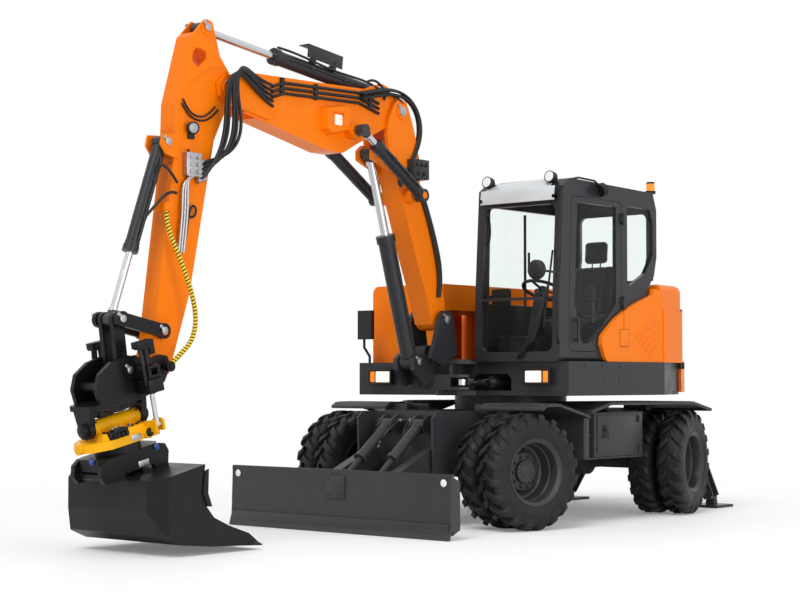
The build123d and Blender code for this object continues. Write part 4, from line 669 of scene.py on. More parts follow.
# %% Tyre and lug shapes
WHEEL_BASE, KINGPIN_Y, TYRE_R, STEER = 2300.0, 750.0, 487.0, 13.0
HUB_OFFSET, TYRE_W, TWIN_GAP, RIM_R = 220.0, 235.0, 50.0, 262.0
TYRE_STEPS = 72
LUG_COUNT = 20
LUG_HEIGHT = 0.030
CARCASS_R = TYRE_R / 1000 - LUG_HEIGHT
TYRE_HALF = TYRE_W / 2000 - 0.0015


def wheel_frame(x, side):
    """Where a wheel stands: its middle, with Z along its axle, outward."""
    turn = math.radians(-STEER if x > 0 else STEER)
    middle = spot(x - side * HUB_OFFSET * math.sin(turn), side * (KINGPIN_Y + HUB_OFFSET * math.cos(turn)),
                  TYRE_R)
    return seat_frame(middle, (-side * math.sin(turn), side * math.cos(turn), 0))


def add_tyre(mesh, shift, flip):
    """One tyre in the wheel's own frame, moved along the axle by shift."""
    half = TYRE_HALF
    profile = [(RIM_R / 1000 + 0.001, -half * 0.78), (0.272, -half * 0.92), (0.282, -half * 0.94),
               (0.296, -half),
               (0.345, -half), (0.352, -half - 0.0012), (0.359, -half), (0.405, -half * 0.97),
               (0.432, -half * 0.9),
               (0.448, -half * 0.78), (CARCASS_R - 0.002, -half * 0.5), (CARCASS_R, 0.0)]
    profile += [(radius, -height) for radius, height in reversed(profile[:-1])]
    part = spun(profile, TYRE_STEPS)
    for way in (-1, 1):
        lug = bmesh.new()
        bmesh.ops.create_cube(lug, size=1.0)
        long_edges = [edge for edge in lug.edges if abs(edge.verts[0].co.x - edge.verts[1].co.x) > 0.5]
        bmesh.ops.subdivide_edges(lug, edges=long_edges, cuts=5, use_grid_fill=True)
        round_off(lug, [edge for edge in lug.edges if edge.is_manifold and edge.calc_face_angle(0) > 0.5],
                  0.09, 1)
        for corner in lug.verts:
            reach, breadth, rise = corner.co.x + 0.5, corner.co.y, corner.co.z + 0.5
            across = 0.006 + reach * (TYRE_HALF - 0.006)
            drop = 0.0 if reach < 0.62 else (reach - 0.62) ** 2 * 0.28
            radius = CARCASS_R - 0.008 + rise * (LUG_HEIGHT + 0.008) - drop
            if reach > 0.9:
                radius -= (1 - rise) * 0.035
            wide = (0.050 + 0.026 * reach) * (1.0 - 0.14 * rise)
            round_ = breadth * wide + 0.085 * reach ** 0.8 * flip
            if way < 0:
                round_ += math.pi * CARCASS_R / LUG_COUNT
            angle = round_ / CARCASS_R
            corner.co = (radius * math.cos(angle), radius * math.sin(angle), way * across)
        bmesh.ops.recalc_face_normals(lug, faces=lug.faces[:])
        bmesh.ops.spin(lug, geom=lug.verts[:] + lug.edges[:] + lug.faces[:], cent=(0, 0, 0), axis=(0, 0, 1),
                       dvec=(0, 0, 0), angle=2 * math.pi * (LUG_COUNT - 1) / LUG_COUNT, steps=LUG_COUNT - 1,
                       use_merge=False, use_normal_flip=False, use_duplicate=True)
        join(part, lug)
    bmesh.ops.translate(part, vec=(0, 0, shift), verts=part.verts[:])
    join(mesh, part)


# %% [markdown]
# The rims are deep dishes: the hub's cover lies well behind the outer tyre's face, with a
# ring of nuts round it. Each is one profile turned round the axle, and stands for the
# packed rim.

# %% Rim profile
RIM_PROFILE = [
    (0.0, 0.132), (0.092, 0.132), (0.099, 0.128), (0.101, 0.101), (0.148, 0.099), (0.160, 0.094),
    (0.176, 0.066),
    (0.200, 0.055), (0.222, 0.062), (0.228, 0.076), (0.229, 0.142), (0.233, 0.150), (0.241, 0.156),
    (0.243, 0.226),
    (0.249, 0.238), (0.262, 0.246), (0.274, 0.252), (0.278, 0.2575), (0.283, 0.256), (0.282, 0.250),
    (0.2625, 0.240),
    (0.2615, 0.0), (0.2625, -0.240), (0.282, -0.250), (0.283, -0.256), (0.276, -0.2575), (0.258, -0.246),
    (0.246, -0.22),
    (0.240, 0.02), (0.200, 0.035), (0.130, 0.060), (0.118, 0.040), (0.112, -0.090), (0.0, -0.090),
]

# %% Four wheels
for corner_name, x, side in (("front_left", WHEEL_BASE / 2, 1), ("front_right", WHEEL_BASE / 2, -1),
                             ("rear_left", -WHEEL_BASE / 2, 1), ("rear_right", -WHEEL_BASE / 2, -1)):
    body = "wheel_" + corner_name
    place = wheel_frame(x, side)
    twin = bmesh.new()
    for shift in (-(TYRE_W + TWIN_GAP) / 2000, (TYRE_W + TWIN_GAP) / 2000):
        add_tyre(twin, shift, side)
    bmesh.ops.transform(twin, matrix=place, verts=twin.verts[:])
    tyre_piece = finish_piece("treads_" + corner_name, twin, "tyre_rubber", body, 32)
    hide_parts("tyre_" + corner_name)
    axle = place.to_3x3() @ Vector((0, 0, 1))
    middle = place.to_translation()
    dish = bmesh.new()
    add_turned(dish, RIM_PROFILE, middle, axle, 72)
    rim_piece = finish_piece("dished_rim_" + corner_name, dish, "rim_paint", body, 28)
    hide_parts("rim_" + corner_name)
    studs = bmesh.new()
    for index in range(10):
        angle = 2 * math.pi * index / 10
        foot = place @ Vector((0.128 * math.cos(angle), 0.128 * math.sin(angle), 0.099))
        add_disc(studs, foot - axle * 0.001, axle, 0.017, 0.006, 0.001, 24)
        add_disc(studs, foot + axle * 0.004, axle, 0.0135, 0.015, 0.0015, 6)
        add_disc(studs, foot + axle * 0.018, axle, 0.0075, 0.012, 0.001, 12)
    for index in range(12):
        angle = 2 * math.pi * (index + 0.5) / 12
        foot = place @ Vector((0.084 * math.cos(angle), 0.084 * math.sin(angle), 0.131))
        add_disc(studs, foot, axle, 0.008, 0.007, 0.001, 6)
    finish_piece("wheel_studs_" + corner_name, studs, "rim_paint", body)
    cap = bmesh.new()
    add_turned(cap, [(0.0, 0.137), (0.05, 0.137), (0.056, 0.135), (0.058, 0.128), (0.0, 0.128)], middle, axle,
               48)
    valve_foot = place @ Vector((0.0, 0.19, 0.075))
    add_turned(cap, [(0.0, 0.05), (0.004, 0.05), (0.005, 0.0), (0.0, 0.0)], valve_foot,
               place.to_3x3() @ Vector((0, -0.3, 1)), 12)
    finish_piece("hub_cover_" + corner_name, cap, "rim_paint", body)

# %% [markdown]
# ## Pins
# Each joint's pin shows a bright round head on the steel round it, with a keeper plate
# and a bolt that stop it turning. The heads are found from the sides.

# %% Pin heads
PINS = [
    # name, x, z, head radius, nodes that it may lie on, body
    ("boom_foot", 1165, 1778, 40, ["kingpost", "boom_lower"], "kingpost"),
    ("lift_foot", 1450, 1410, 32, ["kingpost", "lift_barrel"], "kingpost"),
    ("lift_head", 1980, 3170, 30, ["boom_lower", "lift_rod"], "boom_lower"),
    ("elbow", 1717, 3550, 42, ["boom_lower", "boom_upper"], "boom_lower"),
    ("arm_cylinder_foot", 1935, 3697, 30, ["boom_upper", "arm_barrel"], "boom_upper"),
    ("arm_pin", 3740, 3490, 42, ["boom_upper", "arm"], "boom_upper"),
    ("arm_cylinder_head", 3935, 3938, 30, ["arm", "arm_rod"], "arm"),
    ("bucket_cylinder_foot", 4325, 3022, 30, ["arm", "bucket_barrel"], "arm"),
    ("guide_pin", 4395, 1613, 28, ["side_links", "arm"], "side_links"),
    ("link_pin", 4790, 1690, 28, ["side_links", "h_link", "bucket_rod"], "side_links"),
    ("tool_pin", 4737, 1323, 26, ["coupler", "h_link"], "coupler"),
]
pin_meshes = {}
keeper_meshes = {}
for pin_name, x, z, radius, carriers, body in PINS:
    for side in (-1, 1):
        where = surface(carriers, spot(x + 4, side * 230, z + 3), (0, -side, 0))
        outward = Vector((0, side, 0))
        bright = pin_meshes.setdefault(body, bmesh.new())
        add_disc(bright, where - outward * 0.002, outward, radius / 1000, 0.011, 0.003, 32)
        add_disc(bright, where + outward * 0.008, outward, radius / 1000 * 0.45, 0.004, 0.001, 24)
        keeper = keeper_meshes.setdefault(body, bmesh.new())
        step = Vector((radius / 1000 * 0.95, 0, radius / 1000 * 0.75))
        add_block(keeper, where + step + outward * 0.003, (0.052, 0.01, 0.022), 0.002,
                  Matrix.Rotation(math.radians(-38), 4, "Y"))
        add_disc(keeper, where + step * 1.35 + outward * 0.007, outward, 0.009, 0.009, 0.001, 6)
for body, mesh in pin_meshes.items():
    finish_piece("pin_heads_" + body, mesh, "zinc", body)
for body, mesh in keeper_meshes.items():
    finish_piece("pin_keepers_" + body, mesh, "zinc", body)

# %% [markdown]
# ## Blade
# A dozer blade wears at its foot, so a bolted strip of hard steel stands there. A pad in
# the middle takes the arm when the machine is carried, and round white reflectors sit
# near the top corners.


# %% Pixel helper
PICTURE_MIDDLE = (400, 304)
PICTURE_REACH = 1721.16


def seen(across, down, names):
    """The point of these nodes that the camera sees at a place of the 800 by 608 picture."""
    way = camera_turn @ Vector(((across - PICTURE_MIDDLE[0]) / PICTURE_REACH,
                                (PICTURE_MIDDLE[1] - down) / PICTURE_REACH, -1))
    return surface(names, Vector(CAMERA_PLACE), way)


bpy.context.view_layer.update()
camera_turn = camera.matrix_world.to_3x3()

# %% Places in the picture
# Each is (across, down) in pixels; a line of beads or hose is a row of them.
BLADE_PAD_AT = (336, 487)
WIPER_FOOT_AT = (520, 358)
WIPER_LOW_AT = (546, 318)
WIPER_HIGH_AT = (554, 250)
HOOD_FLAP_AT = (624, 338)
HOOD_LINE_AT = (624, 318)
BOOM_LAMP_AT = (338, 120)
ARM_LAMP_AT = (190, 128)
HOSE_LOOP_AT = (188, 205)
COUPLINGS_AT = ((92, 462), (156, 447))
HITCH_PLATE_AT = (144, 463)
FRAME_BOLTS_AT = ((586, 365), (603, 366), (620, 367), (587, 380), (604, 381), (620, 381))
ARM_BEADS_AT = [[(184, 96), (185, 86), (198, 75), (212, 66), (219, 68)],
                [(176, 190), (181, 150), (184, 112), (184, 96)]]
RETURN_LINES_AT = [[(182, 99), (185, 106), (190, 114), (199, 118), (207, 116), (214, 107)],
                   [(181, 103), (184, 110), (190, 118), (200, 122), (209, 120), (217, 110)]]

# %% Blade fittings
AHEAD = Vector((1, 0, 0))
UP = Vector((0, 0, 1))
edge_mesh = bmesh.new()
bolt_mesh = bmesh.new()
blade_low, blade_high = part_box("blade")
foot_hit = surface(["blade"], Vector((6, 0.31, blade_low.z + 0.075)), (-1, 0, 0))
add_block(edge_mesh, Vector((foot_hit.x + 0.003, 0, blade_low.z + 0.068)),
          (0.014, blade_high.y - blade_low.y - 0.03, 0.12), 0.003)
for index in range(12):
    y = (index - 5.5) * (blade_high.y - blade_low.y - 0.2) / 11
    add_disc(bolt_mesh, Vector((foot_hit.x + 0.009, y, blade_low.z + 0.055)), AHEAD, 0.012, 0.003, 0.001, 20)
finish_piece("blade_edge", edge_mesh, "frame_paint", "blade")
finish_piece("blade_bolts", bolt_mesh, "frame_paint", "blade")
pad_mesh = bmesh.new()
pad_hit = seen(*BLADE_PAD_AT, ["blade"])
add_block(pad_mesh, pad_hit + AHEAD * 0.004, (0.022, 0.20, 0.19), 0.004)
for side in (-1, 1):
    for rise in (-0.07, 0.07):
        add_disc(pad_mesh, pad_hit + Vector((0.014, side * 0.078, rise)), AHEAD, 0.009, 0.007, 0.001, 6)
finish_piece("blade_pad", pad_mesh, "frame_paint", "blade")
corner_lamps = bmesh.new()
corner_frames = bmesh.new()
for side in (-1, 1):
    lamp_hit = surface(["blade"], Vector((6, side * (blade_high.y - 0.075), blade_high.z - 0.222)),
                       (-1, 0, 0))
    add_disc(corner_frames, lamp_hit - AHEAD * 0.001, AHEAD, 0.034, 0.005, 0.002, 36)
    add_disc(corner_lamps, lamp_hit + AHEAD * 0.003, AHEAD, 0.030, 0.004, 0.002, 36)
finish_piece("blade_reflector_rings", corner_frames, "black_plastic", "blade")
finish_piece("blade_reflectors", corner_lamps, "reflector", "blade")

# %% [markdown]
# ## Cylinders
# Every cylinder has a screwed gland where its rod comes out, a feed pipe along its barrel
# and clamps that hold the pipe. They all lie along the line between the two pins.

# %% Cylinder fittings
CYLINDERS = [
    # name, foot (x, y, z), head (x, y, z), barrel radius, body
    ("lift", (1450, 0, 1410), LIFT_HEAD, 62, "lift_barrel"),
    ("adjust_left", (1602, 262, 2832), ADJUST_HEAD, 48, "adjust_barrels"),
    ("adjust_right", (1602, -262, 2832), (2356, -262, 3311), 48, "adjust_barrels"),
    ("arm", ARM_CYLINDER_FOOT, ARM_HEAD, 50, "arm_barrel"),
    ("bucket", (4325, 0, 3022), BUCKET_HEAD, 48, "bucket_barrel"),
]
for cylinder, foot, head, radius, body in CYLINDERS:
    start = spot(*foot)
    barrel = radius / 1000
    ahead = (spot(*head) - start).normalized()
    across = Vector((0, 1, 0)) if foot[1] >= 0 else Vector((0, -1, 0))
    low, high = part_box(body)
    corners = [Vector((x, start.y, z)) for x in (low.x, high.x) for z in (low.z, high.z)]
    end = max((corner - start).dot(ahead) for corner in corners) - barrel * 0.55
    gland = bmesh.new()
    add_turned(gland, [(barrel + 0.001, -0.045), (barrel + 0.007, -0.040), (barrel + 0.007, -0.006),
                       (barrel + 0.001, 0.0), (barrel - 0.004, 0.0), (barrel - 0.004, -0.045),
                       (barrel + 0.001, -0.045)], start + ahead * (end - 0.05), ahead, 40)
    for share in (0.35, 0.68):
        band = start + ahead * (end * share)
        add_turned(gland, [(barrel - 0.002, -0.014), (barrel + 0.005, -0.014), (barrel + 0.005, 0.014),
                           (barrel - 0.002, 0.014), (barrel - 0.002, -0.014)], band, ahead, 36)
        add_block(gland, band + across * (barrel + 0.009), (0.03, 0.03, 0.034), 0.003,
                  ahead.to_track_quat("Z", "Y").to_matrix().to_4x4())
    finish_piece("gland_" + cylinder, gland, "dark_paint", body)
    inner, outer = barrel - 0.01, barrel + 0.016
    pipe = ((0.11, inner), (0.11, outer), (0.19, outer), (end * 0.5, outer), (end - 0.16, outer),
            (end - 0.09, outer), (end - 0.09, inner))
    hose("feed_pipe_" + cylinder, [[back(start + ahead * along + across * out) for along, out in pipe]],
         0.008, "dark_paint", body)

# %% [markdown]
# ## Hoses across the elbows
# Bundles of black hose carry oil over both elbows of the boom. Each bundle is one mesh
# that crosses its joint; it stays fixed in the frame and follows neither piece.


# %% Bending hoses
def bending_hose(name, rows, radius, first, second):
    """Hoses that cross a joint, as one fixed mesh that is attached to neither body."""
    item = hose(name + "_line", rows, radius, "black_rubber", None)
    data = solid_copy(item)
    bpy.data.objects.remove(item)
    piece = new_object(name, data)
    data.name = name
    data.shade_smooth()
    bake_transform(piece)
    print(name, "bends between", first, "and", second)
    return piece


bending_hose("elbow_hoses", [
    [(2225, y, z_top), (1990, y, z_top + 60), (1760, y, z_top + 105), (1545, y + 8, 3640 - 6 * k),
     (1455 + 10 * k, y + 14, 3440),
     (1500 + 12 * k, y + 8, 3230), (1640 + 8 * k, y, 3060), (1716 + 10 * k, y, 2960 - 18 * k)]
    for k, (y, z_top) in enumerate(((118, 3652), (146, 3640), (118, 3612), (146, 3600), (-118, 3640),
                                    (-146, 3628)))
], 0.0125, "boom_lower", "boom_upper")
bending_hose("arm_hoses", [
    [(3270, 118 + 3 * k, 3578 - 42 * k), (3430, 130 + 6 * k, 3600 - 34 * k),
     (3590, 150 + 14 * (k % 3), 3690 - 22 * k),
     (3690 + 16 * k, 176 + 12 * (k % 2), 3650 - 6 * k), (3725 + 30 * k, 190 + 10 * (k % 3), 3450),
     (3650 + 46 * k, 192 - 8 * (k % 2), 3210),
     (3720 + 40 * k, 168 + 8 * (k % 3), 2990 - 8 * k), (3920 + 18 * k, 136, 2915 - 30 * k),
     (4040, 120, 2890 - 34 * k)]
    for k in range(5)
], 0.0135, "boom_upper", "arm")

# %% Clipped hoses and pipes
hose("arm_pipes", [
    [(4035, 108 + 12 * k, 2880 - 30 * k), (4120, 118, 2830 - 30 * k), (4165 + 26 * k, 118, 2740),
     (4150 + 26 * k, 118, 2540),
     (4172 + 26 * k, 118, 2380), (4196 + 24 * k, 118, 2200)] for k in range(3)
], 0.0105, "zinc", "arm")
hose("arm_cylinder_hoses", [
    [(2080, 60, 3770), (2040, 96, 3800), (1960, 112, 3760), (1900, 114, 3700), (1920, 116, 3630)],
    [(2130, -60, 3776), (2080, -96, 3800), (2000, -112, 3760), (1930, -114, 3690), (1935, -116, 3630)],
], 0.011, "black_rubber", "boom_upper")
hose("bucket_cylinder_hoses", [
    [(4262, 120, 2720), (4330, 128, 2790), (4400, 120, 2860), (4420, 78, 2830), (4416, 52, 2776)],
    [(4270, 120, 2640), (4350, 136, 2660), (4452, 120, 2560), (4506, 84, 2480), (4524, 54, 2440)],
], 0.011, "black_rubber", "arm")
hose("boom_foot_hoses", [
    [(1180 + 14 * k, 112 + 8 * (k % 2), 1980), (1150 + 18 * k, 128, 2150), (1215 + 20 * k, 122, 2420),
     (1330 + 20 * k, 114, 2720),
     (1440 + 22 * k, 112, 2950), (1560 + 20 * k, 112, 2990)] for k in range(3)
], 0.0115, "black_rubber", "boom_lower")

# %% Valve block on the arm
valve_mesh = bmesh.new()
valve_hit = surface(["arm"], spot(4105, 900, 2870), (0, -1, 0))
add_block(valve_mesh, valve_hit + Vector((0, 0.028, 0)), (0.15, 0.055, 0.18), 0.005)
for rise in (-0.055, 0.0, 0.055):
    add_disc(valve_mesh, valve_hit + Vector((0.03, 0.052, rise)), (0, 1, 0), 0.018, 0.016, 0.002, 6)
    add_disc(valve_mesh, valve_hit + Vector((-0.035, 0.052, rise)), (0, 1, 0), 0.014, 0.022, 0.002, 6)
finish_piece("arm_valve_block", valve_mesh, "zinc", "arm")

# %% [markdown]
# ## Lamps, mirrors and beacon
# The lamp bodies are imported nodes. Here they get their glass: turned domes and rounded
# plates that sit a little proud of each body.

# %% Lamp glass
roof_glass = bmesh.new()
ROOF_LAMP_AXIS = Vector((math.sin(math.radians(80)), 0, math.cos(math.radians(80))))
for y in (1030, 350):
    face = spot(782, y, 3004) + ROOF_LAMP_AXIS * 0.028
    add_turned(roof_glass, [(0.0, 0.008), (0.025, 0.0065), (0.043, 0.002), (0.046, -0.002), (0.0, -0.002)],
               face, ROOF_LAMP_AXIS, 32)
finish_piece("roof_lamp_glass", roof_glass, "white_lens", "upper")
front_glass = bmesh.new()
turn_glass = bmesh.new()
bezels = bmesh.new()
FRONT_X, LAMP_Z, HEAD_LAMP_Y, TURN_LAMP_Y = 770, 1284, 864, 992
for side in (-1, 1):
    add_block(front_glass, spot(FRONT_X + 52, side * HEAD_LAMP_Y, LAMP_Z), (0.012, 0.168, 0.1), 0.005)
    add_block(turn_glass, spot(FRONT_X + 42, side * TURN_LAMP_Y, LAMP_Z), (0.016, 0.062, 0.1), 0.005)
    for step in range(-3, 4):
        add_block(front_glass, spot(FRONT_X + 58, side * HEAD_LAMP_Y + step * 23, LAMP_Z),
                  (0.004, 0.006, 0.092),
                  0.001, None, 1)
    for step in range(-3, 4):
        add_block(turn_glass, spot(FRONT_X + 50, side * TURN_LAMP_Y, LAMP_Z + step * 13),
                  (0.004, 0.056, 0.005),
                  0.001, None, 1)
    for rise in (-1, 1):
        add_block(bezels, spot(FRONT_X + 54, side * 894, LAMP_Z + rise * 63), (0.02, 0.28, 0.018), 0.005)
    for y in (768, 1032):
        add_block(bezels, spot(FRONT_X + 50, side * y, LAMP_Z), (0.02, 0.018, 0.14), 0.005)
finish_piece("head_lamp_bezels", bezels, "black_plastic", "upper")
finish_piece("head_lamp_glass", front_glass, "warm_lens", "upper")
finish_piece("turn_lamp_glass", turn_glass, "amber_lens", "upper")
beacon_glass = bmesh.new()
beacon_foot = spot(-855, 1000, 3015)
add_turned(beacon_glass, [(0.0, 0.094), (0.022, 0.092), (0.034, 0.084), (0.0385, 0.072), (0.0395, 0.004),
                          (0.0, 0.004)],
           beacon_foot, UP, 36)
for level in (0.02, 0.034, 0.048, 0.062):
    add_turned(beacon_glass, [(0.0385, level - 0.003), (0.0412, level), (0.0385, level + 0.003),
                              (0.0385, level - 0.003)],
               beacon_foot, UP, 36)
finish_piece("beacon_glass", beacon_glass, "amber_lens", "upper")

# %% Mirrors
mirror_backs = bmesh.new()
mirror_glass = bmesh.new()
add_turned(mirror_backs, [(0.0, 0.026), (0.03, 0.024), (0.06, 0.016), (0.08, 0.0), (0.0, 0.0)],
           spot(1242, 1200, 2175), AHEAD, 36)
add_turned(mirror_glass, [(0.0, 0.004), (0.04, 0.003), (0.076, 0.0), (0.076, -0.003), (0.0, -0.003)],
           spot(1207, 1200, 2175), -AHEAD, 36)
add_block(mirror_glass, spot(796, -1075, 1770), (0.006, 0.15, 0.25), 0.003)
finish_piece("mirror_backs", mirror_backs, "black_plastic", "upper")
finish_piece("mirror_glass", mirror_glass, "mirror_face", "upper")

# %% [markdown]
# ## Windscreen wiper and cab details
# One long wiper parks upright at the edge of the windscreen. Its arm is a bent rod, and
# the rubber lies along it. Inside, levers with shaped knobs stand on the arm rests.

# %% Wiper
wiper_foot = seen(*WIPER_FOOT_AT, ["cab_frame", "cab_glass"])
wiper_low = seen(*WIPER_LOW_AT, ["cab_frame", "cab_glass"])
wiper_high = seen(*WIPER_HIGH_AT, ["cab_frame", "cab_glass"])
wiper_lift = Vector((0.022, 0, 0))
hose("wiper_arm", [
    [back(wiper_foot + Vector((0, y, 0)) + wiper_lift * 0.4),
     back(wiper_foot + Vector((0, y, 0)) + wiper_lift * 1.6),
     back(wiper_low + Vector((0, y * 0.7, 0)) + wiper_lift * 2.2),
     back(wiper_low.lerp(wiper_high, 0.45) + wiper_lift * 1.8),
     back(wiper_low.lerp(wiper_high, 0.5) + wiper_lift * 1.1)]
    for y in (-0.014, 0.014)], 0.009, "black_plastic", "upper")
hose("wiper_rubber", [[back(wiper_low.lerp(wiper_high, share) + wiper_lift * 0.9) for share in (-0.12, 0.7,
                                                                                                1.0)]],
     0.009, "black_rubber", "upper")

# %% Levers
lever_mesh = bmesh.new()
for side in (-1, 1):
    foot = spot(110, 700 + side * 300, 1416 + 45 + 515)
    add_turned(lever_mesh, [(0.0, 0.115), (0.02, 0.11), (0.028, 0.09), (0.026, 0.05), (0.018, 0.02),
                            (0.026, 0.008),
                            (0.034, -0.004), (0.0, -0.004)], foot, (0.12, 0, 1), 24)
finish_piece("cab_levers", lever_mesh, "black_plastic", "upper")

# %% [markdown]
# ## Fenders and side lockers
# Folded tread plate keeps mud off the deck: each fender is a run of flat plates with bends
# between them, a lip folded down along its edges, and a ridge every few centimetres. The
# locker between the wheels is also the step to the cab. These stand for the packed
# fenders, whose front plates reach further ahead than the real ones.

# %% Fender plates
FENDER_RUNS = (
    ((1150, 1018), (1092, 1050), (905, 1052), (445, 945)),
    ((412, 990), (118, 1056), (-1267, 1050), (-1590, 982)),
)
FENDER_IN, FENDER_OUT = 535, 1205
FENDER_MIDDLE = (FENDER_IN + FENDER_OUT) / 2
FENDER_WIDE = (FENDER_OUT - FENDER_IN) / 1000
fender_mesh = bmesh.new()
for side in (-1, 1):
    for run in FENDER_RUNS:
        for (x_a, z_a), (x_b, z_b) in zip(run, run[1:]):
            tilt = Matrix.Rotation(math.atan2(z_a - z_b, x_b - x_a) + math.pi, 4, "Y")
            length = math.hypot(x_b - x_a, z_b - z_a) / 1000
            middle = spot((x_a + x_b) / 2, side * FENDER_MIDDLE, (z_a + z_b) / 2)
            add_block(fender_mesh, middle, (length + 0.003, FENDER_WIDE, 0.006), 0.0015, tilt, 1)
            for edge in (FENDER_IN + 3, FENDER_OUT - 3):
                add_block(fender_mesh, spot((x_a + x_b) / 2, side * edge, (z_a + z_b) / 2 - 11),
                          (length + 0.006, 0.006, 0.026), 0.0015, tilt, 1)
            ridges = max(1, int(length / 0.042))
            for index in range(ridges):
                share = (index + 0.5) / ridges
                place = spot(x_a + (x_b - x_a) * share, side * FENDER_MIDDLE, z_a + (z_b - z_a) * share)
                add_block(fender_mesh, place + Vector((0, 0, 0.004)), (0.012, 0.63, 0.005), 0, tilt)
        for (x_tip, z_tip), drop in ((run[0], 11), (run[-1], 10)):
            add_block(fender_mesh, spot(x_tip, side * FENDER_MIDDLE, z_tip - drop),
                      (0.006, FENDER_WIDE, 0.026), 0.0015)
    for x in (1010, 700, -640, -1330):
        add_block(fender_mesh, spot(x, side * 520, 1000), (0.05, 0.26, 0.085), 0.004)
fender_plates = finish_piece("fender_plates", fender_mesh, "frame_paint", "chassis")
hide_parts("fenders")

# %% Lockers with their steps
LOCKER_IN, LOCKER_Y, SHELF_Y = 435, 1125, 1133
LOCKER_WIDE, SHELF_WIDE = (LOCKER_Y - LOCKER_IN) / 1000, (SHELF_Y - LOCKER_IN) / 1000
locker_mesh = bmesh.new()
step_mesh = bmesh.new()
for side in (-1, 1):
    add_block(locker_mesh, spot(-110, side * (LOCKER_IN + LOCKER_Y) / 2, 768), (0.78, LOCKER_WIDE, 0.385),
              0.006)
    for level, thick in ((567, 0.014), (962, 0.012)):
        add_block(locker_mesh, spot(-30, side * (LOCKER_IN + SHELF_Y) / 2, level), (0.94, SHELF_WIDE, thick),
                  0.003)
    add_block(locker_mesh, spot(398, side * (LOCKER_Y - 4), 765), (0.084, 0.008, 0.39), 0.002)
    add_block(locker_mesh, spot(438, side * (LOCKER_IN + LOCKER_Y) / 2, 765), (0.006, LOCKER_WIDE, 0.39),
              0.002)
    add_block(locker_mesh, spot(330, side * 520, 765), (0.22, 0.01, 0.39), 0.002)
    add_block(step_mesh, spot(358, side * 900, 768), (0.15, 0.43, 0.012), 0.002)
    for level in (577, 777):
        for index in range(6):
            add_block(step_mesh, spot(296 + index * 26, side * 900, level), (0.012, 0.42, 0.014), 0.002, None,
                      1)
finish_piece("side_lockers", locker_mesh, "frame_paint", "chassis")
finish_piece("locker_steps", step_mesh, "black_paint", "chassis")

# %% [markdown]
# ## Panels and catches
# Doors and lockers show as a plate that stands a little proud, with a thin dark joint all
# round it. The plate is one rounded block, and the joint is the shadow beneath its edge;
# on the hood that shadow is painted, as a black block under the flap.

# %% Locker doors and catches
panel_mesh = bmesh.new()
catch_mesh = bmesh.new()
for side in (-1, 1):
    face = spot(-100, side * LOCKER_Y, 772)
    add_block(panel_mesh, Vector((face.x, face.y + side * 0.003, face.z)), (0.68, 0.014, 0.335), 0.005)
    catch = spot(120, side * (LOCKER_Y + 8), 800)
    add_block(catch_mesh, catch, (0.11, 0.008, 0.12), 0.003)
    add_disc(catch_mesh, catch + Vector((0.0, side * 0.003, 0.02)), (0, side, 0), 0.022, 0.007, 0.002, 28)
    add_block(catch_mesh, catch + Vector((0.0, side * 0.012, 0.02)), (0.05, 0.006, 0.010), 0.002)
    for x, z in ((-410, 640), (-410, 905)):
        add_turned(catch_mesh, [(0.0, 0.03), (0.009, 0.03), (0.009, -0.03), (0.0, -0.03)],
                   spot(x, side * (LOCKER_Y + 12), z), UP, 16)
finish_piece("locker_doors", panel_mesh, "frame_paint", "chassis")
finish_piece("locker_catches", catch_mesh, "black_paint", "chassis")

# %% Hood catches, with painted shade in their joints
hood_joint_shade = bmesh.new()
hood_flaps = bmesh.new()
flap_hit = seen(*HOOD_FLAP_AT, ["hood"])
# A black block a little larger than the flap is painted shade in the joint round it, and a thin black strip
# is painted shade in the seam above.
add_block(hood_joint_shade, flap_hit - Vector((0, 0.001, 0)), (0.132, 0.006, 0.158), 0.002)
add_block(hood_flaps, flap_hit + Vector((0, 0.001, 0)), (0.124, 0.006, 0.150), 0.003)
line_hit = seen(*HOOD_LINE_AT, ["hood"])
add_block(hood_joint_shade, Vector((flap_hit.x, line_hit.y - 0.001, line_hit.z)), (0.005, 0.004, 0.2), 0.001)
finish_piece("hood_joint_shade", hood_joint_shade, "black_plastic", "upper")
finish_piece("hood_flaps", hood_flaps, "orange_paint", "upper")

# %% [markdown]
# ## Tilting head
# The head's housing is closed by rings of bolts, hoses run to its motor and its pins are
# kept by dark screwed caps. Blue caps mark the grease points.

# %% Head fittings
HEAD_LEAN = Matrix.Rotation(math.radians(13), 4, "Y")
HEAD_PLACE = Matrix.Translation(spot(4757, 0, 950)) @ HEAD_LEAN


def head_spot(x, y, z):
    return HEAD_PLACE @ Vector((x / 1000, y / 1000, z / 1000))


def head_way(x, y, z):
    return HEAD_LEAN.to_3x3() @ Vector((x, y, z))


head_bolts = bmesh.new()
for index in range(20):
    angle = 2 * math.pi * index / 20
    x, y = 205 * math.cos(angle), 135 * math.sin(angle)
    start = head_spot(x, y, 60)
    try:
        where = surface(["tilt_head"], start, head_way(0, 0, -1))
    except RuntimeError:
        continue
    add_disc(head_bolts, where, head_way(0, 0, 1), 0.011, 0.010, 0.0015, 6)
finish_piece("head_bolts", head_bolts, "black_paint", "tilt_head")
head_caps = bmesh.new()
for side in (-1, 1):
    tip = surface(["coupler", "tilt_head"], head_spot(side * 700, 4, 3), head_way(-side, 0, 0))
    add_turned(head_caps, [(0.0, 0.012), (0.03, 0.011), (0.042, 0.006), (0.045, -0.003), (0.0, -0.003)], tip,
               head_way(side, 0, 0), 32)
    worm_end = head_spot(-150, side * 200, -108)
    add_turned(head_caps, [(0.0, 0.016), (0.026, 0.015), (0.032, 0.010), (0.034, -0.003), (0.0, -0.003)],
               worm_end, (0, side, 0), 28)
finish_piece("head_caps", head_caps, "black_paint", "tilt_head")
grease_mesh = bmesh.new()
for x, y in ((-60, 150), (60, 150), (-60, -150), (60, -150)):
    where = surface(["tilt_head"], head_spot(x, y * 0.6, 80), head_way(0, 0, -1))
    add_disc(grease_mesh, where, head_way(0, 0, 1), 0.008, 0.02, 0.003, 16)
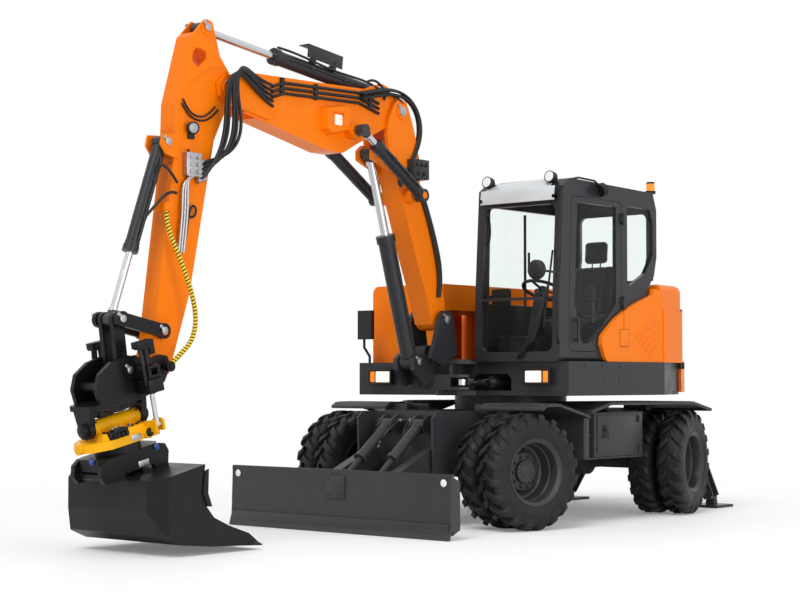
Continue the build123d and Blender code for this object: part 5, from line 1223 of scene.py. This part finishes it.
finish_piece("grease_caps", grease_mesh, "blue_fitting", "tilt_head")

# %% [markdown]
# ## Bucket edge
# The lip is bare steel where the soil has polished it.

# %% Bucket edge
lip_mesh = bmesh.new()
bucket_low, bucket_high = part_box("bucket")
lip_hit = surface(["bucket"], Vector((bucket_low.x + 0.06, 0.1, bucket_low.z + 0.5)), (0, 0, -1))
add_block(lip_mesh, lip_hit + Vector((-0.015, -0.1, 0.001)), (0.06, bucket_high.y - bucket_low.y - 0.02,
                                                              0.004), 0.001,
          Matrix.Rotation(math.radians(-6), 4, "Y"))
finish_piece("bucket_lip", lip_mesh, "worn_steel", "bucket")


# %% [markdown]
# ## Seat
# The seat is three soft pads on a hard frame. Each pad starts as a rounded box, a little
# too small, is remeshed into even faces and blown up by Blender's cloth, so that its
# sides crown and its corners pull in. Two sewn channels are pressed in afterwards.


# %% Soft pad
SEAT_Y = 700
SEAT_FLOOR = 1461
PAD_VOXEL = 0.009
PUFF_FRAMES = 16
CHANNEL_WIDE, CHANNEL_DEEP = 0.009, 0.007


def puffed(name, shape, cap, channels=()):
    """A cushion blown up from a working mesh by cloth pressure; cap is how far a point may move."""
    data = bpy.data.meshes.new(name)
    shape.to_mesh(data)
    shape.free()
    item = new_object(name, data)
    remesh = item.modifiers.new("even", "REMESH")
    remesh.mode = "VOXEL"
    remesh.voxel_size = PAD_VOXEL
    even = solid_copy(item)
    item.modifiers.clear()
    item.data = even
    rest = [corner.co.copy() for corner in even.vertices]
    cloth_step = item.modifiers.new("puff", "CLOTH")
    cloth_step.settings.quality = 5
    cloth_step.settings.use_pressure = True
    cloth_step.settings.uniform_pressure_force = 4.0
    cloth_step.settings.effector_weights.gravity = 0.0
    cloth_step.point_cache.frame_start = 1
    cloth_step.point_cache.frame_end = PUFF_FRAMES
    for frame_number in range(1, PUFF_FRAMES + 1):
        scene.frame_set(frame_number)
    blown = solid_copy(item)
    for corner, before in zip(blown.vertices, rest):
        move = corner.co - before
        if move.length > cap:
            corner.co = before + move.normalized() * cap
    item.modifiers.clear()
    item.data = blown
    scene.frame_set(1)
    middle_y = SEAT_Y / 1000
    for corner in item.data.vertices:
        for offset in channels:
            near = (abs(corner.co.y - middle_y) - offset) / CHANNEL_WIDE
            if abs(near) < 3:
                corner.co -= corner.normal * CHANNEL_DEEP * math.exp(-near * near)
    item.data.materials.clear()
    item.data.materials.append(finishes["seat_cloth"])
    item.data.shade_smooth()
    smooth = item.modifiers.new("smooth", "SUBSURF")
    smooth.levels = 1
    smooth.render_levels = 1
    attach(item, "upper")
    print(f"{name}: {len(item.data.vertices)} points")
    return item


def pad_shape(x, z, size, lean, edge):
    """A rounded box round (x, z) above the cab's floor, leaned back by degrees."""
    shape = bmesh.new()
    add_block(shape, spot(x, SEAT_Y, SEAT_FLOOR + z), size, edge, Matrix.Rotation(math.radians(lean), 4, "Y"),
              4)
    return shape


# %% Cushions
puffed("seat_squab", pad_shape(-35, 276, (0.45, 0.44, 0.085), -4, 0.03), 0.014, (0.12,))
puffed("seat_back", pad_shape(-328, 590, (0.095, 0.43, 0.52), -12.5, 0.036), 0.014, (0.12,))
puffed("seat_headrest", pad_shape(-393, 968, (0.075, 0.235, 0.2), -4, 0.034), 0.014)

# %% Seat frame, consoles and column
seat_hard = bmesh.new()
add_block(seat_hard, spot(-60, SEAT_Y, SEAT_FLOOR + 60), (0.35, 0.37, 0.118), 0.01)
for level in range(5):
    add_block(seat_hard, spot(-60, SEAT_Y, SEAT_FLOOR + 128 + level * 18),
              (0.33 - 0.02 * (level % 2), 0.35 - 0.02 * (level % 2), 0.016), 0.006)
add_block(seat_hard, spot(-60, SEAT_Y, SEAT_FLOOR + 221), (0.4, 0.42, 0.018), 0.005)
add_block(seat_hard, spot(-392, SEAT_Y, SEAT_FLOOR + 560), (0.03, 0.36, 0.5), 0.012,
          Matrix.Rotation(math.radians(-12.5), 4, "Y"))
for y in (-45, 45):
    add_turned(seat_hard, [(0.0, 0.1), (0.006, 0.1), (0.006, -0.04), (0.0, -0.04)],
               spot(-392, SEAT_Y + y, SEAT_FLOOR + 850), (-0.1, 0, 1), 12)
for side in (-1, 1):
    add_block(seat_hard, spot(-40, SEAT_Y + side * 300, SEAT_FLOOR + 330), (0.43, 0.105, 0.085), 0.02, None,
              3)
    add_block(seat_hard, spot(-120, SEAT_Y + side * 300, SEAT_FLOOR + 145), (0.15, 0.085, 0.29), 0.012)
    add_turned(seat_hard, [(0.0, 0.09), (0.018, 0.085), (0.018, 0.03), (0.03, 0.0), (0.03, -0.03),
                           (0.0, -0.03)],
               spot(110, SEAT_Y + side * 300, SEAT_FLOOR + 400), (0.06, 0, 1), 20)
add_block(seat_hard, spot(555, SEAT_Y, SEAT_FLOOR + 280), (0.085, 0.095, 0.6), 0.02,
          Matrix.Rotation(math.radians(-15), 4, "Y"), 3)
add_block(seat_hard, spot(600, SEAT_Y, SEAT_FLOOR + 12), (0.2, 0.24, 0.02), 0.006)
for y in (-70, 70):
    add_block(seat_hard, spot(690, SEAT_Y + y, SEAT_FLOOR + 60), (0.012, 0.08, 0.16), 0.004,
              Matrix.Rotation(math.radians(35), 4, "Y"))
seat_rigid = finish_piece("seat_frame", seat_hard, "black_plastic", "upper")
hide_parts("seat")
WHEEL_LEAN = Matrix.Rotation(math.radians(-25), 4, "Y")
wheel_middle, wheel_axis = spot(440, SEAT_Y, SEAT_FLOOR + 590), WHEEL_LEAN.to_3x3() @ Vector((0, 0, 1))
wheel_mesh = bmesh.new()
grip = [(0.185 + 0.015 * math.cos(turn * math.pi / 6),
         0.015 * math.sin(turn * math.pi / 6)) for turn in range(13)]
add_turned(wheel_mesh, grip, wheel_middle, wheel_axis, 48)
add_turned(wheel_mesh, [(0.0, 0.03), (0.04, 0.024), (0.052, 0.0), (0.046, -0.05), (0.0, -0.05)],
           wheel_middle, wheel_axis, 32)
for angle in (0, 120, 240):
    spoke = WHEEL_LEAN @ Matrix.Rotation(math.radians(angle), 4, "Z")
    add_block(wheel_mesh, wheel_middle + spoke.to_3x3() @ Vector((0.11, 0, -0.004)), (0.17, 0.03, 0.012),
              0.004, spoke)
finish_piece("steering_wheel", wheel_mesh, "black_plastic", "upper")
display_mesh = bmesh.new()
add_block(display_mesh, spot(622, 370, 1990), (0.05, 0.19, 0.15), 0.012, None, 3)
add_block(display_mesh, spot(700, 318, 1990), (0.16, 0.03, 0.03), 0.006)
finish_piece("display_case", display_mesh, "black_plastic", "upper")
screen_mesh = bmesh.new()
add_block(screen_mesh, spot(596, 370, 1992), (0.003, 0.16, 0.115), 0.001)
finish_piece("display_screen", screen_mesh, "grey_display", "upper")

# %% [markdown]
# ## Cab linings and outer trim
# Behind the seat and along the right wall the cab is lined in black plastic. Over the
# windscreen lies a pale visor, and a rail divides the right-hand window.

# %% Cab linings
lining_mesh = bmesh.new()
add_block(lining_mesh, spot(150, 306, 1700), (1.24, 0.045, 0.46), 0.015)
add_block(lining_mesh, spot(-478, 690, 1700), (0.05, 0.78, 0.46), 0.015)
add_block(lining_mesh, spot(300, 355, 1560), (0.62, 0.1, 0.18), 0.02)
add_block(lining_mesh, spot(90, 700, 1464), (1.15, 0.78, 0.006), 0.002)
for index in range(14):
    add_block(lining_mesh, spot(560 - index * 26, 700, 1468), (0.01, 0.6, 0.004), 0, None)
finish_piece("cab_linings", lining_mesh, "black_plastic", "upper")
bar_mesh = bmesh.new()
add_block(bar_mesh, spot(120, 262, 2250), (0.03, 0.014, 1.04), 0.004)
add_block(bar_mesh, spot(60, 262, 2350), (0.02, 0.02, 0.16), 0.005)
finish_piece("right_window_bar", bar_mesh, "black_plastic", "upper")
hose("screen_handle", [[(770, 300, 2700), (735, 318, 2700), (720, 322, 2640), (720, 322, 2520),
                        (735, 318, 2462), (775, 300, 2460)]],
     0.009, "black_plastic", "upper")
visor_mesh = bmesh.new()
VISOR_LINE = ((818, 2806), (818, 2866), (806, 2925), (760, 2966), (690, 3002), (600, 3006))
VISOR_WIDTHS = (0.80, 0.80, 0.70, 0.56, 0.56)
for (x_a, z_a), (x_b, z_b), width in zip(VISOR_LINE, VISOR_LINE[1:], VISOR_WIDTHS):
    tilt = Matrix.Rotation(math.atan2(z_b - z_a, x_a - x_b), 4, "Y")
    add_block(visor_mesh, spot((x_a + x_b) / 2, 690, (z_a + z_b) / 2),
              (math.hypot(x_b - x_a, z_b - z_a) / 1000 + 0.004, width, 0.007), 0.001, tilt)
finish_piece("roof_visor", visor_mesh, "pale_panel", "upper")
clip_mesh = bmesh.new()
for y in (300, 1080) * 2:
    add_block(clip_mesh, spot(800, y, 2836), (0.05, 0.02, 0.03), 0.003)
finish_piece("visor_clips", clip_mesh, "black_plastic", "upper")

# %% Frame plates and rear corner guards
side_bolts = bmesh.new()
for across, down in FRAME_BOLTS_AT:
    hit = seen(across, down, ["upper_frame"])
    for side in (-1, 1):
        where = surface(["upper_frame"], Vector((hit.x, side * 2.5, hit.z)), (0, -side, 0))
        add_disc(side_bolts, where - Vector((0, side * 0.001, 0)), (0, side, 0), 0.013, 0.006, 0.002, 20)
finish_piece("frame_bolts", side_bolts, "dark_paint", "upper")
guard_mesh = bmesh.new()
for side in (-1, 1):
    for level in range(1390, 1951, 56):
        where = surface(["counterweight", "hood"], spot(-2290, side * 2000, level), (1, -side, 0))
        add_block(guard_mesh, where, (0.05, 0.062, 0.062), 0.006,
                  Matrix.Rotation(-side * math.pi / 4, 4, "Z"))
finish_piece("rear_corner_guards", guard_mesh, "black_plastic", "upper")

# %% [markdown]
# ## Boom and arm details
# The work lamp in the boom's guard gets its reflector, the arm a small lamp of its own. A
# bent plate shields the arm cylinder. Weld beads run round the doubling plates.

# %% Lamps of the boom and arm
guard_lens = bmesh.new()
lens_hit = seen(*BOOM_LAMP_AT, ["boom_upper"])
add_block(guard_lens, lens_hit + Vector((0, 0.006, 0)), (0.085, 0.012, 0.085), 0.012)
finish_piece("boom_lamp_glass", guard_lens, "white_lens", "boom_upper")
arm_lamp = bmesh.new()
arm_lamp_glass = bmesh.new()
arm_lamp_hit = seen(*ARM_LAMP_AT, ["arm"])
ARM_LAMP_AXIS = (0.25, 1, -0.1)
add_turned(arm_lamp, [(0.0, 0.0), (0.030, 0.0), (0.036, 0.02), (0.046, 0.03), (0.048, 0.062), (0.042, 0.066),
                      (0.040, 0.058), (0.0, 0.058)],
           arm_lamp_hit, ARM_LAMP_AXIS, 32)
add_block(arm_lamp, arm_lamp_hit + Vector((0.0, 0.012, -0.05)), (0.06, 0.024, 0.07), 0.006)
add_turned(arm_lamp_glass, [(0.0, 0.066), (0.02, 0.065), (0.038, 0.060), (0.038, 0.057), (0.0, 0.057)],
           arm_lamp_hit, ARM_LAMP_AXIS, 32)
finish_piece("arm_lamp", arm_lamp, "black_plastic", "arm")
finish_piece("arm_lamp_glass", arm_lamp_glass, "mirror_face", "arm")

# %% Cylinder shield
shield_mesh = bmesh.new()
SHIELD_SLOPE = Matrix.Rotation(-math.atan2(241, 2000), 4, "Y")
shield_ahead = SHIELD_SLOPE.to_3x3() @ Vector((1, 0, 0))
shield_up = SHIELD_SLOPE.to_3x3() @ Vector((0, 0, 1))
shield_middle = spot(2620, 0, 3780)

def shield_spot(along, out, up):
    """A point beside the arm cylinder, along, out to the left and up from the shield's middle."""
    return shield_middle + shield_up * up + shield_ahead * along + Vector((0, out, 0))


add_block(shield_mesh, shield_spot(0, 0.072, 0.128), (0.42, 0.006, 0.11), 0.002, SHIELD_SLOPE)
add_block(shield_mesh, shield_spot(0, 0.02, 0.181), (0.42, 0.11, 0.006), 0.002, SHIELD_SLOPE)
for along in (-0.12, 0.12):
    add_block(shield_mesh, shield_spot(along, 0.045, 0.062), (0.04, 0.055, 0.05), 0.004, SHIELD_SLOPE)
    add_disc(shield_mesh, shield_spot(along, 0.074, 0.105), (0, 1, 0), 0.011, 0.008, 0.001, 6)
finish_piece("arm_cylinder_shield", shield_mesh, "dark_paint", "arm_barrel")
gland_bolts = bmesh.new()
arm_foot = spot(*ARM_CYLINDER_FOOT)
gland_end = arm_foot + shield_ahead * ((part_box("arm_barrel")[1].x - arm_foot.x) / shield_ahead.x - 0.012)
add_turned(gland_bolts, [(0.031, 0.0), (0.066, 0.0), (0.066, -0.05), (0.052, -0.06), (0.031, -0.06),
                         (0.031, 0.0)],
           gland_end, shield_ahead, 36)
for index in range(8):
    angle = 2 * math.pi * index / 8
    where = gland_end + (Vector((0, 1, 0)) * math.cos(angle) + shield_up * math.sin(angle)) * 0.053
    add_disc(gland_bolts, where - shield_ahead * 0.001, shield_ahead, 0.009, 0.009, 0.001, 6)
finish_piece("arm_gland_ring", gland_bolts, "dark_paint", "arm_barrel")

# %% Weld beads
def bead(name, picture_lines, names, body, radius=0.005):
    """A raised bead that follows the sheet between places of the picture."""
    rows = []
    for line in picture_lines:
        row = []
        for (x_a, y_a), (x_b, y_b) in zip(line, line[1:]):
            for part in range(4):
                row.append(back(seen(x_a + (x_b - x_a) * part / 4, y_a + (y_b - y_a) * part / 4, names)))
        row.append(back(seen(*line[-1], names)))
        rows.append(row)
    return hose(name, rows, radius, "orange_paint", body)


bead("arm_weld_beads", ARM_BEADS_AT, ["arm"], "arm")

# %% Hoses of the boom and arm
hose("arm_cylinder_lines", [
    [(3150, 62, 3905), (3060, 70, 3898), (2900, 66, 3878), (2720, 66, 3846), (2480, 68, 3800),
     (2250, 70, 3786), (2050, 84, 3760), (1960, 112, 3700)],
    [(2840, -40, 3870), (2700, -66, 3850), (2450, -70, 3810), (2200, -72, 3775), (2020, -90, 3750),
     (1950, -114, 3700)],
], 0.010, "black_rubber", "arm_barrel")
loop_hit = back(seen(*HOSE_LOOP_AT, ["arm"]))
LOOP_STEPS = ((10, 14, 420), (-6, 16, 250), (24, 16, 60), (40, 18, -60), (-20, 24, -110), (-70, 28, -50),
              (-30, 34, 10), (20, 36, -30), (30, 26, -160), (34, 10, -260))
hose("arm_hose_loop", [[tuple(a + b for a, b in zip(loop_hit, step)) for step in LOOP_STEPS]],
     0.009, "black_rubber", "arm")
hose("arm_return_lines", [[back(seen(*place, ["arm"]) + Vector((0, 0.013, 0))) for place in row]
                          for row in RETURN_LINES_AT], 0.0075, "black_rubber", "arm")
bending_hose("elbow_loop", [
    [(1640, 118, 3560), (1700, 134, 3640), (1850, 142, 3700), (1990, 138, 3690), (2100, 124, 3640)],
], 0.012, "boom_lower", "boom_upper")
hose("boom_front_hoses", [
    [(1600, 112, 3320), (1520, 130, 3250), (1470, 134, 3120), (1500, 124, 3010), (1560, 116, 2960)],
], 0.012, "black_rubber", "boom_lower")

# %% Ferrules at hose ends
ferrule_mesh = bmesh.new()
for level in range(2890, 2753, -34):
    add_turned(ferrule_mesh, [(0.0, -0.07), (0.0155, -0.07), (0.0165, -0.03), (0.0165, 0.0), (0.019, 0.002),
                              (0.019, 0.024), (0.0, 0.024)], spot(4040, 120, level), (1, 0, -0.3), 20)
finish_piece("arm_hose_ferrules", ferrule_mesh, "zinc", "arm")
COVER_X, COVER_Y, COVER_Z = 1548, 158, 3065
block_cover = bmesh.new()
add_block(block_cover, spot(COVER_X, COVER_Y, COVER_Z), (0.205, 0.126, 0.172), 0.008)
for x, z in ((-60, 40), (0, 40), (60, 40), (-30, -40), (40, -40)):
    add_disc(block_cover, spot(COVER_X + x, COVER_Y + 62, COVER_Z + z), (0, 1, 0), 0.016, 0.018, 0.002, 6)
finish_piece("boom_valve_cover", block_cover, "dark_paint", "boom_lower")

# %% [markdown]
# ## Rotator head, dressed
# Oil reaches the head through a thick bunch of black hoses. Square guards close round the
# tilt cylinders, and a valve block with silver plugs sits on the yellow housing.

# %% Tilt cylinder guards
GUARD_UP = 226
for side_name, side in SIDES:
    guard = bmesh.new()
    guard_middle = head_spot(-200, side * 235, GUARD_UP)
    for x in (-0.062, 0.062):
        add_block(guard, guard_middle + head_way(x, 0, 0), (0.012, 0.135, 0.1), 0.003, HEAD_LEAN)
    for y in (-0.062, 0.062):
        add_block(guard, guard_middle + head_way(0, y, 0), (0.136, 0.012, 0.1), 0.003, HEAD_LEAN)
    add_turned(guard, [(0.044, 0.05), (0.050, 0.05), (0.050, -0.05), (0.044, -0.05), (0.044, 0.05)],
               guard_middle, head_way(0, 0, 1), 32)
    for x in (-0.05, 0.05):
        add_block(guard, guard_middle + head_way(x, 0, 0), (0.02, 0.014, 0.09), 0.003, HEAD_LEAN)
    add_block(guard, head_spot(-175, side * 250, 535), (0.15, 0.075, 0.05), 0.006, HEAD_LEAN)
    add_block(guard, head_spot(-250, side * 235, 500), (0.05, 0.06, 0.11), 0.006, HEAD_LEAN)
    finish_piece("tilt_guard_" + side_name, guard, "black_paint", "tilt_barrel_" + side_name)
    hose("tilt_hoses_" + side_name, [
        [back(head_spot(-150 + 14 * k, side * (246 + 10 * k), 520)),
         back(head_spot(-146 + 14 * k, side * (262 + 8 * k), 430)),
         back(head_spot(-140 + 8 * k, side * (268 + 6 * k), 330)),
         back(head_spot(-150 + 8 * k, side * (262 + 4 * k), 240))]
        for k in range(2)], 0.014, "black_rubber", "tilt_barrel_" + side_name)

# %% Hose bunch under the coupler
bunch = bmesh.new()
add_block(bunch, head_spot(0, 0, 112), (0.42, 0.12, 0.062), 0.012, HEAD_LEAN)
add_block(bunch, head_spot(110, 0, 104), (0.12, 0.15, 0.07), 0.008, HEAD_LEAN)
finish_piece("head_manifold", bunch, "black_paint", "coupler")
hose("head_hoses", [
    [back(head_spot(*place)) for place in row] for row in (
        ((-190, 60, 128), (-100, 104, 118), (0, 112, 112), (90, 96, 116), (190, 62, 130)),
        ((-200, 40, 140), (-110, 86, 96), (-10, 98, 92), (80, 84, 96), (180, 40, 134)),
        ((-170, 50, 120), (-120, 120, 120), (-40, 128, 128), (60, 120, 130), (150, 60, 134)),
        ((-190, -60, 128), (-100, -104, 118), (0, -112, 112), (90, -96, 116), (190, -62, 130)),
        ((-200, -40, 140), (-110, -86, 96), (-10, -98, 92), (80, -84, 96), (180, -40, 134)),
    )], 0.015, "black_rubber", "coupler")

# %% Plugs and valves on the head
valve = bmesh.new()
plugs = bmesh.new()
for side in (-1, 1):
    middle = head_spot(95, side * 125, -66)
    add_block(valve, middle, (0.17, 0.09, 0.06), 0.008, HEAD_LEAN)
    add_block(valve, head_spot(95, side * 150, -40), (0.1, 0.05, 0.05), 0.006, HEAD_LEAN)
    for x in (45, 85, 125, 155):
        add_turned(valve, [(0.0, 0.03), (0.013, 0.03), (0.013, 0.0), (0.018, -0.004), (0.0, -0.004)],
                   head_spot(x, side * 168, -66), head_way(0, side, 0.2), 16)
    for x in (60, 105, 140):
        add_disc(plugs, head_spot(x, side * 150, -17), head_way(0, 0, 1), 0.010, 0.010, 0.001, 6)
    add_block(plugs, head_spot(-40, side * 181, -118), (0.09, 0.003, 0.042), 0.001, HEAD_LEAN)
finish_piece("head_valves", valve, "black_paint", "tilt_head")
finish_piece("head_plugs", plugs, "zinc", "tilt_head")
hitch_blue = bmesh.new()
hitch_plates = bmesh.new()
for across, down in COUPLINGS_AT:
    hit = seen(across, down, ["hitch", "tilt_head"])
    add_turned(hitch_blue, [(0.0, 0.028), (0.012, 0.028), (0.018, 0.02), (0.018, 0.0), (0.024, -0.004),
                            (0.0, -0.004)], hit, (0.6, 0.6, 0.3), 20)
plate_hit = seen(*HITCH_PLATE_AT, ["hitch"])
add_block(hitch_plates, plate_hit, (0.10, 0.004, 0.045), 0.001, HEAD_LEAN)
finish_piece("hitch_couplings", hitch_blue, "blue_fitting", "bucket")
finish_piece("hitch_plates", hitch_plates, "zinc", "bucket")

# %% [markdown]
# ## Hoses at the blade's cylinders
# Short hoses with silver ends come out of two slots in the front plate and run down to
# the blade's cylinders.

# %% Blade hoses
hose("blade_hoses", [
    [(1462, side * (60 + 26 * k), 905 - 12 * k), (1540, side * (64 + 30 * k), 900 - 16 * k),
     (1640, side * (84 + 26 * k), 820 - 10 * k),
     (1690, side * (120 + 14 * k), 740), (1672, side * (160 + 4 * k), 700)]
    for side in (-1, 1) for k in range(3)
], 0.009, "black_rubber", "chassis")
HOSE_END = [(0.0, -0.03), (0.012, -0.03), (0.012, 0.02), (0.015, 0.022), (0.015, 0.04), (0.0, 0.04)]
hose_ends = bmesh.new()
for side in (-1, 1):
    for k in range(3):
        add_turned(hose_ends, HOSE_END, spot(1474, side * (60 + 26 * k), 905 - 12 * k), (1, 0, 0), 16)
        add_turned(hose_ends, HOSE_END, spot(1680, side * (154 + 4 * k), 712), (-0.3, side * 0.6, -0.7), 16)
finish_piece("blade_hose_ends", hose_ends, "zinc", "chassis")
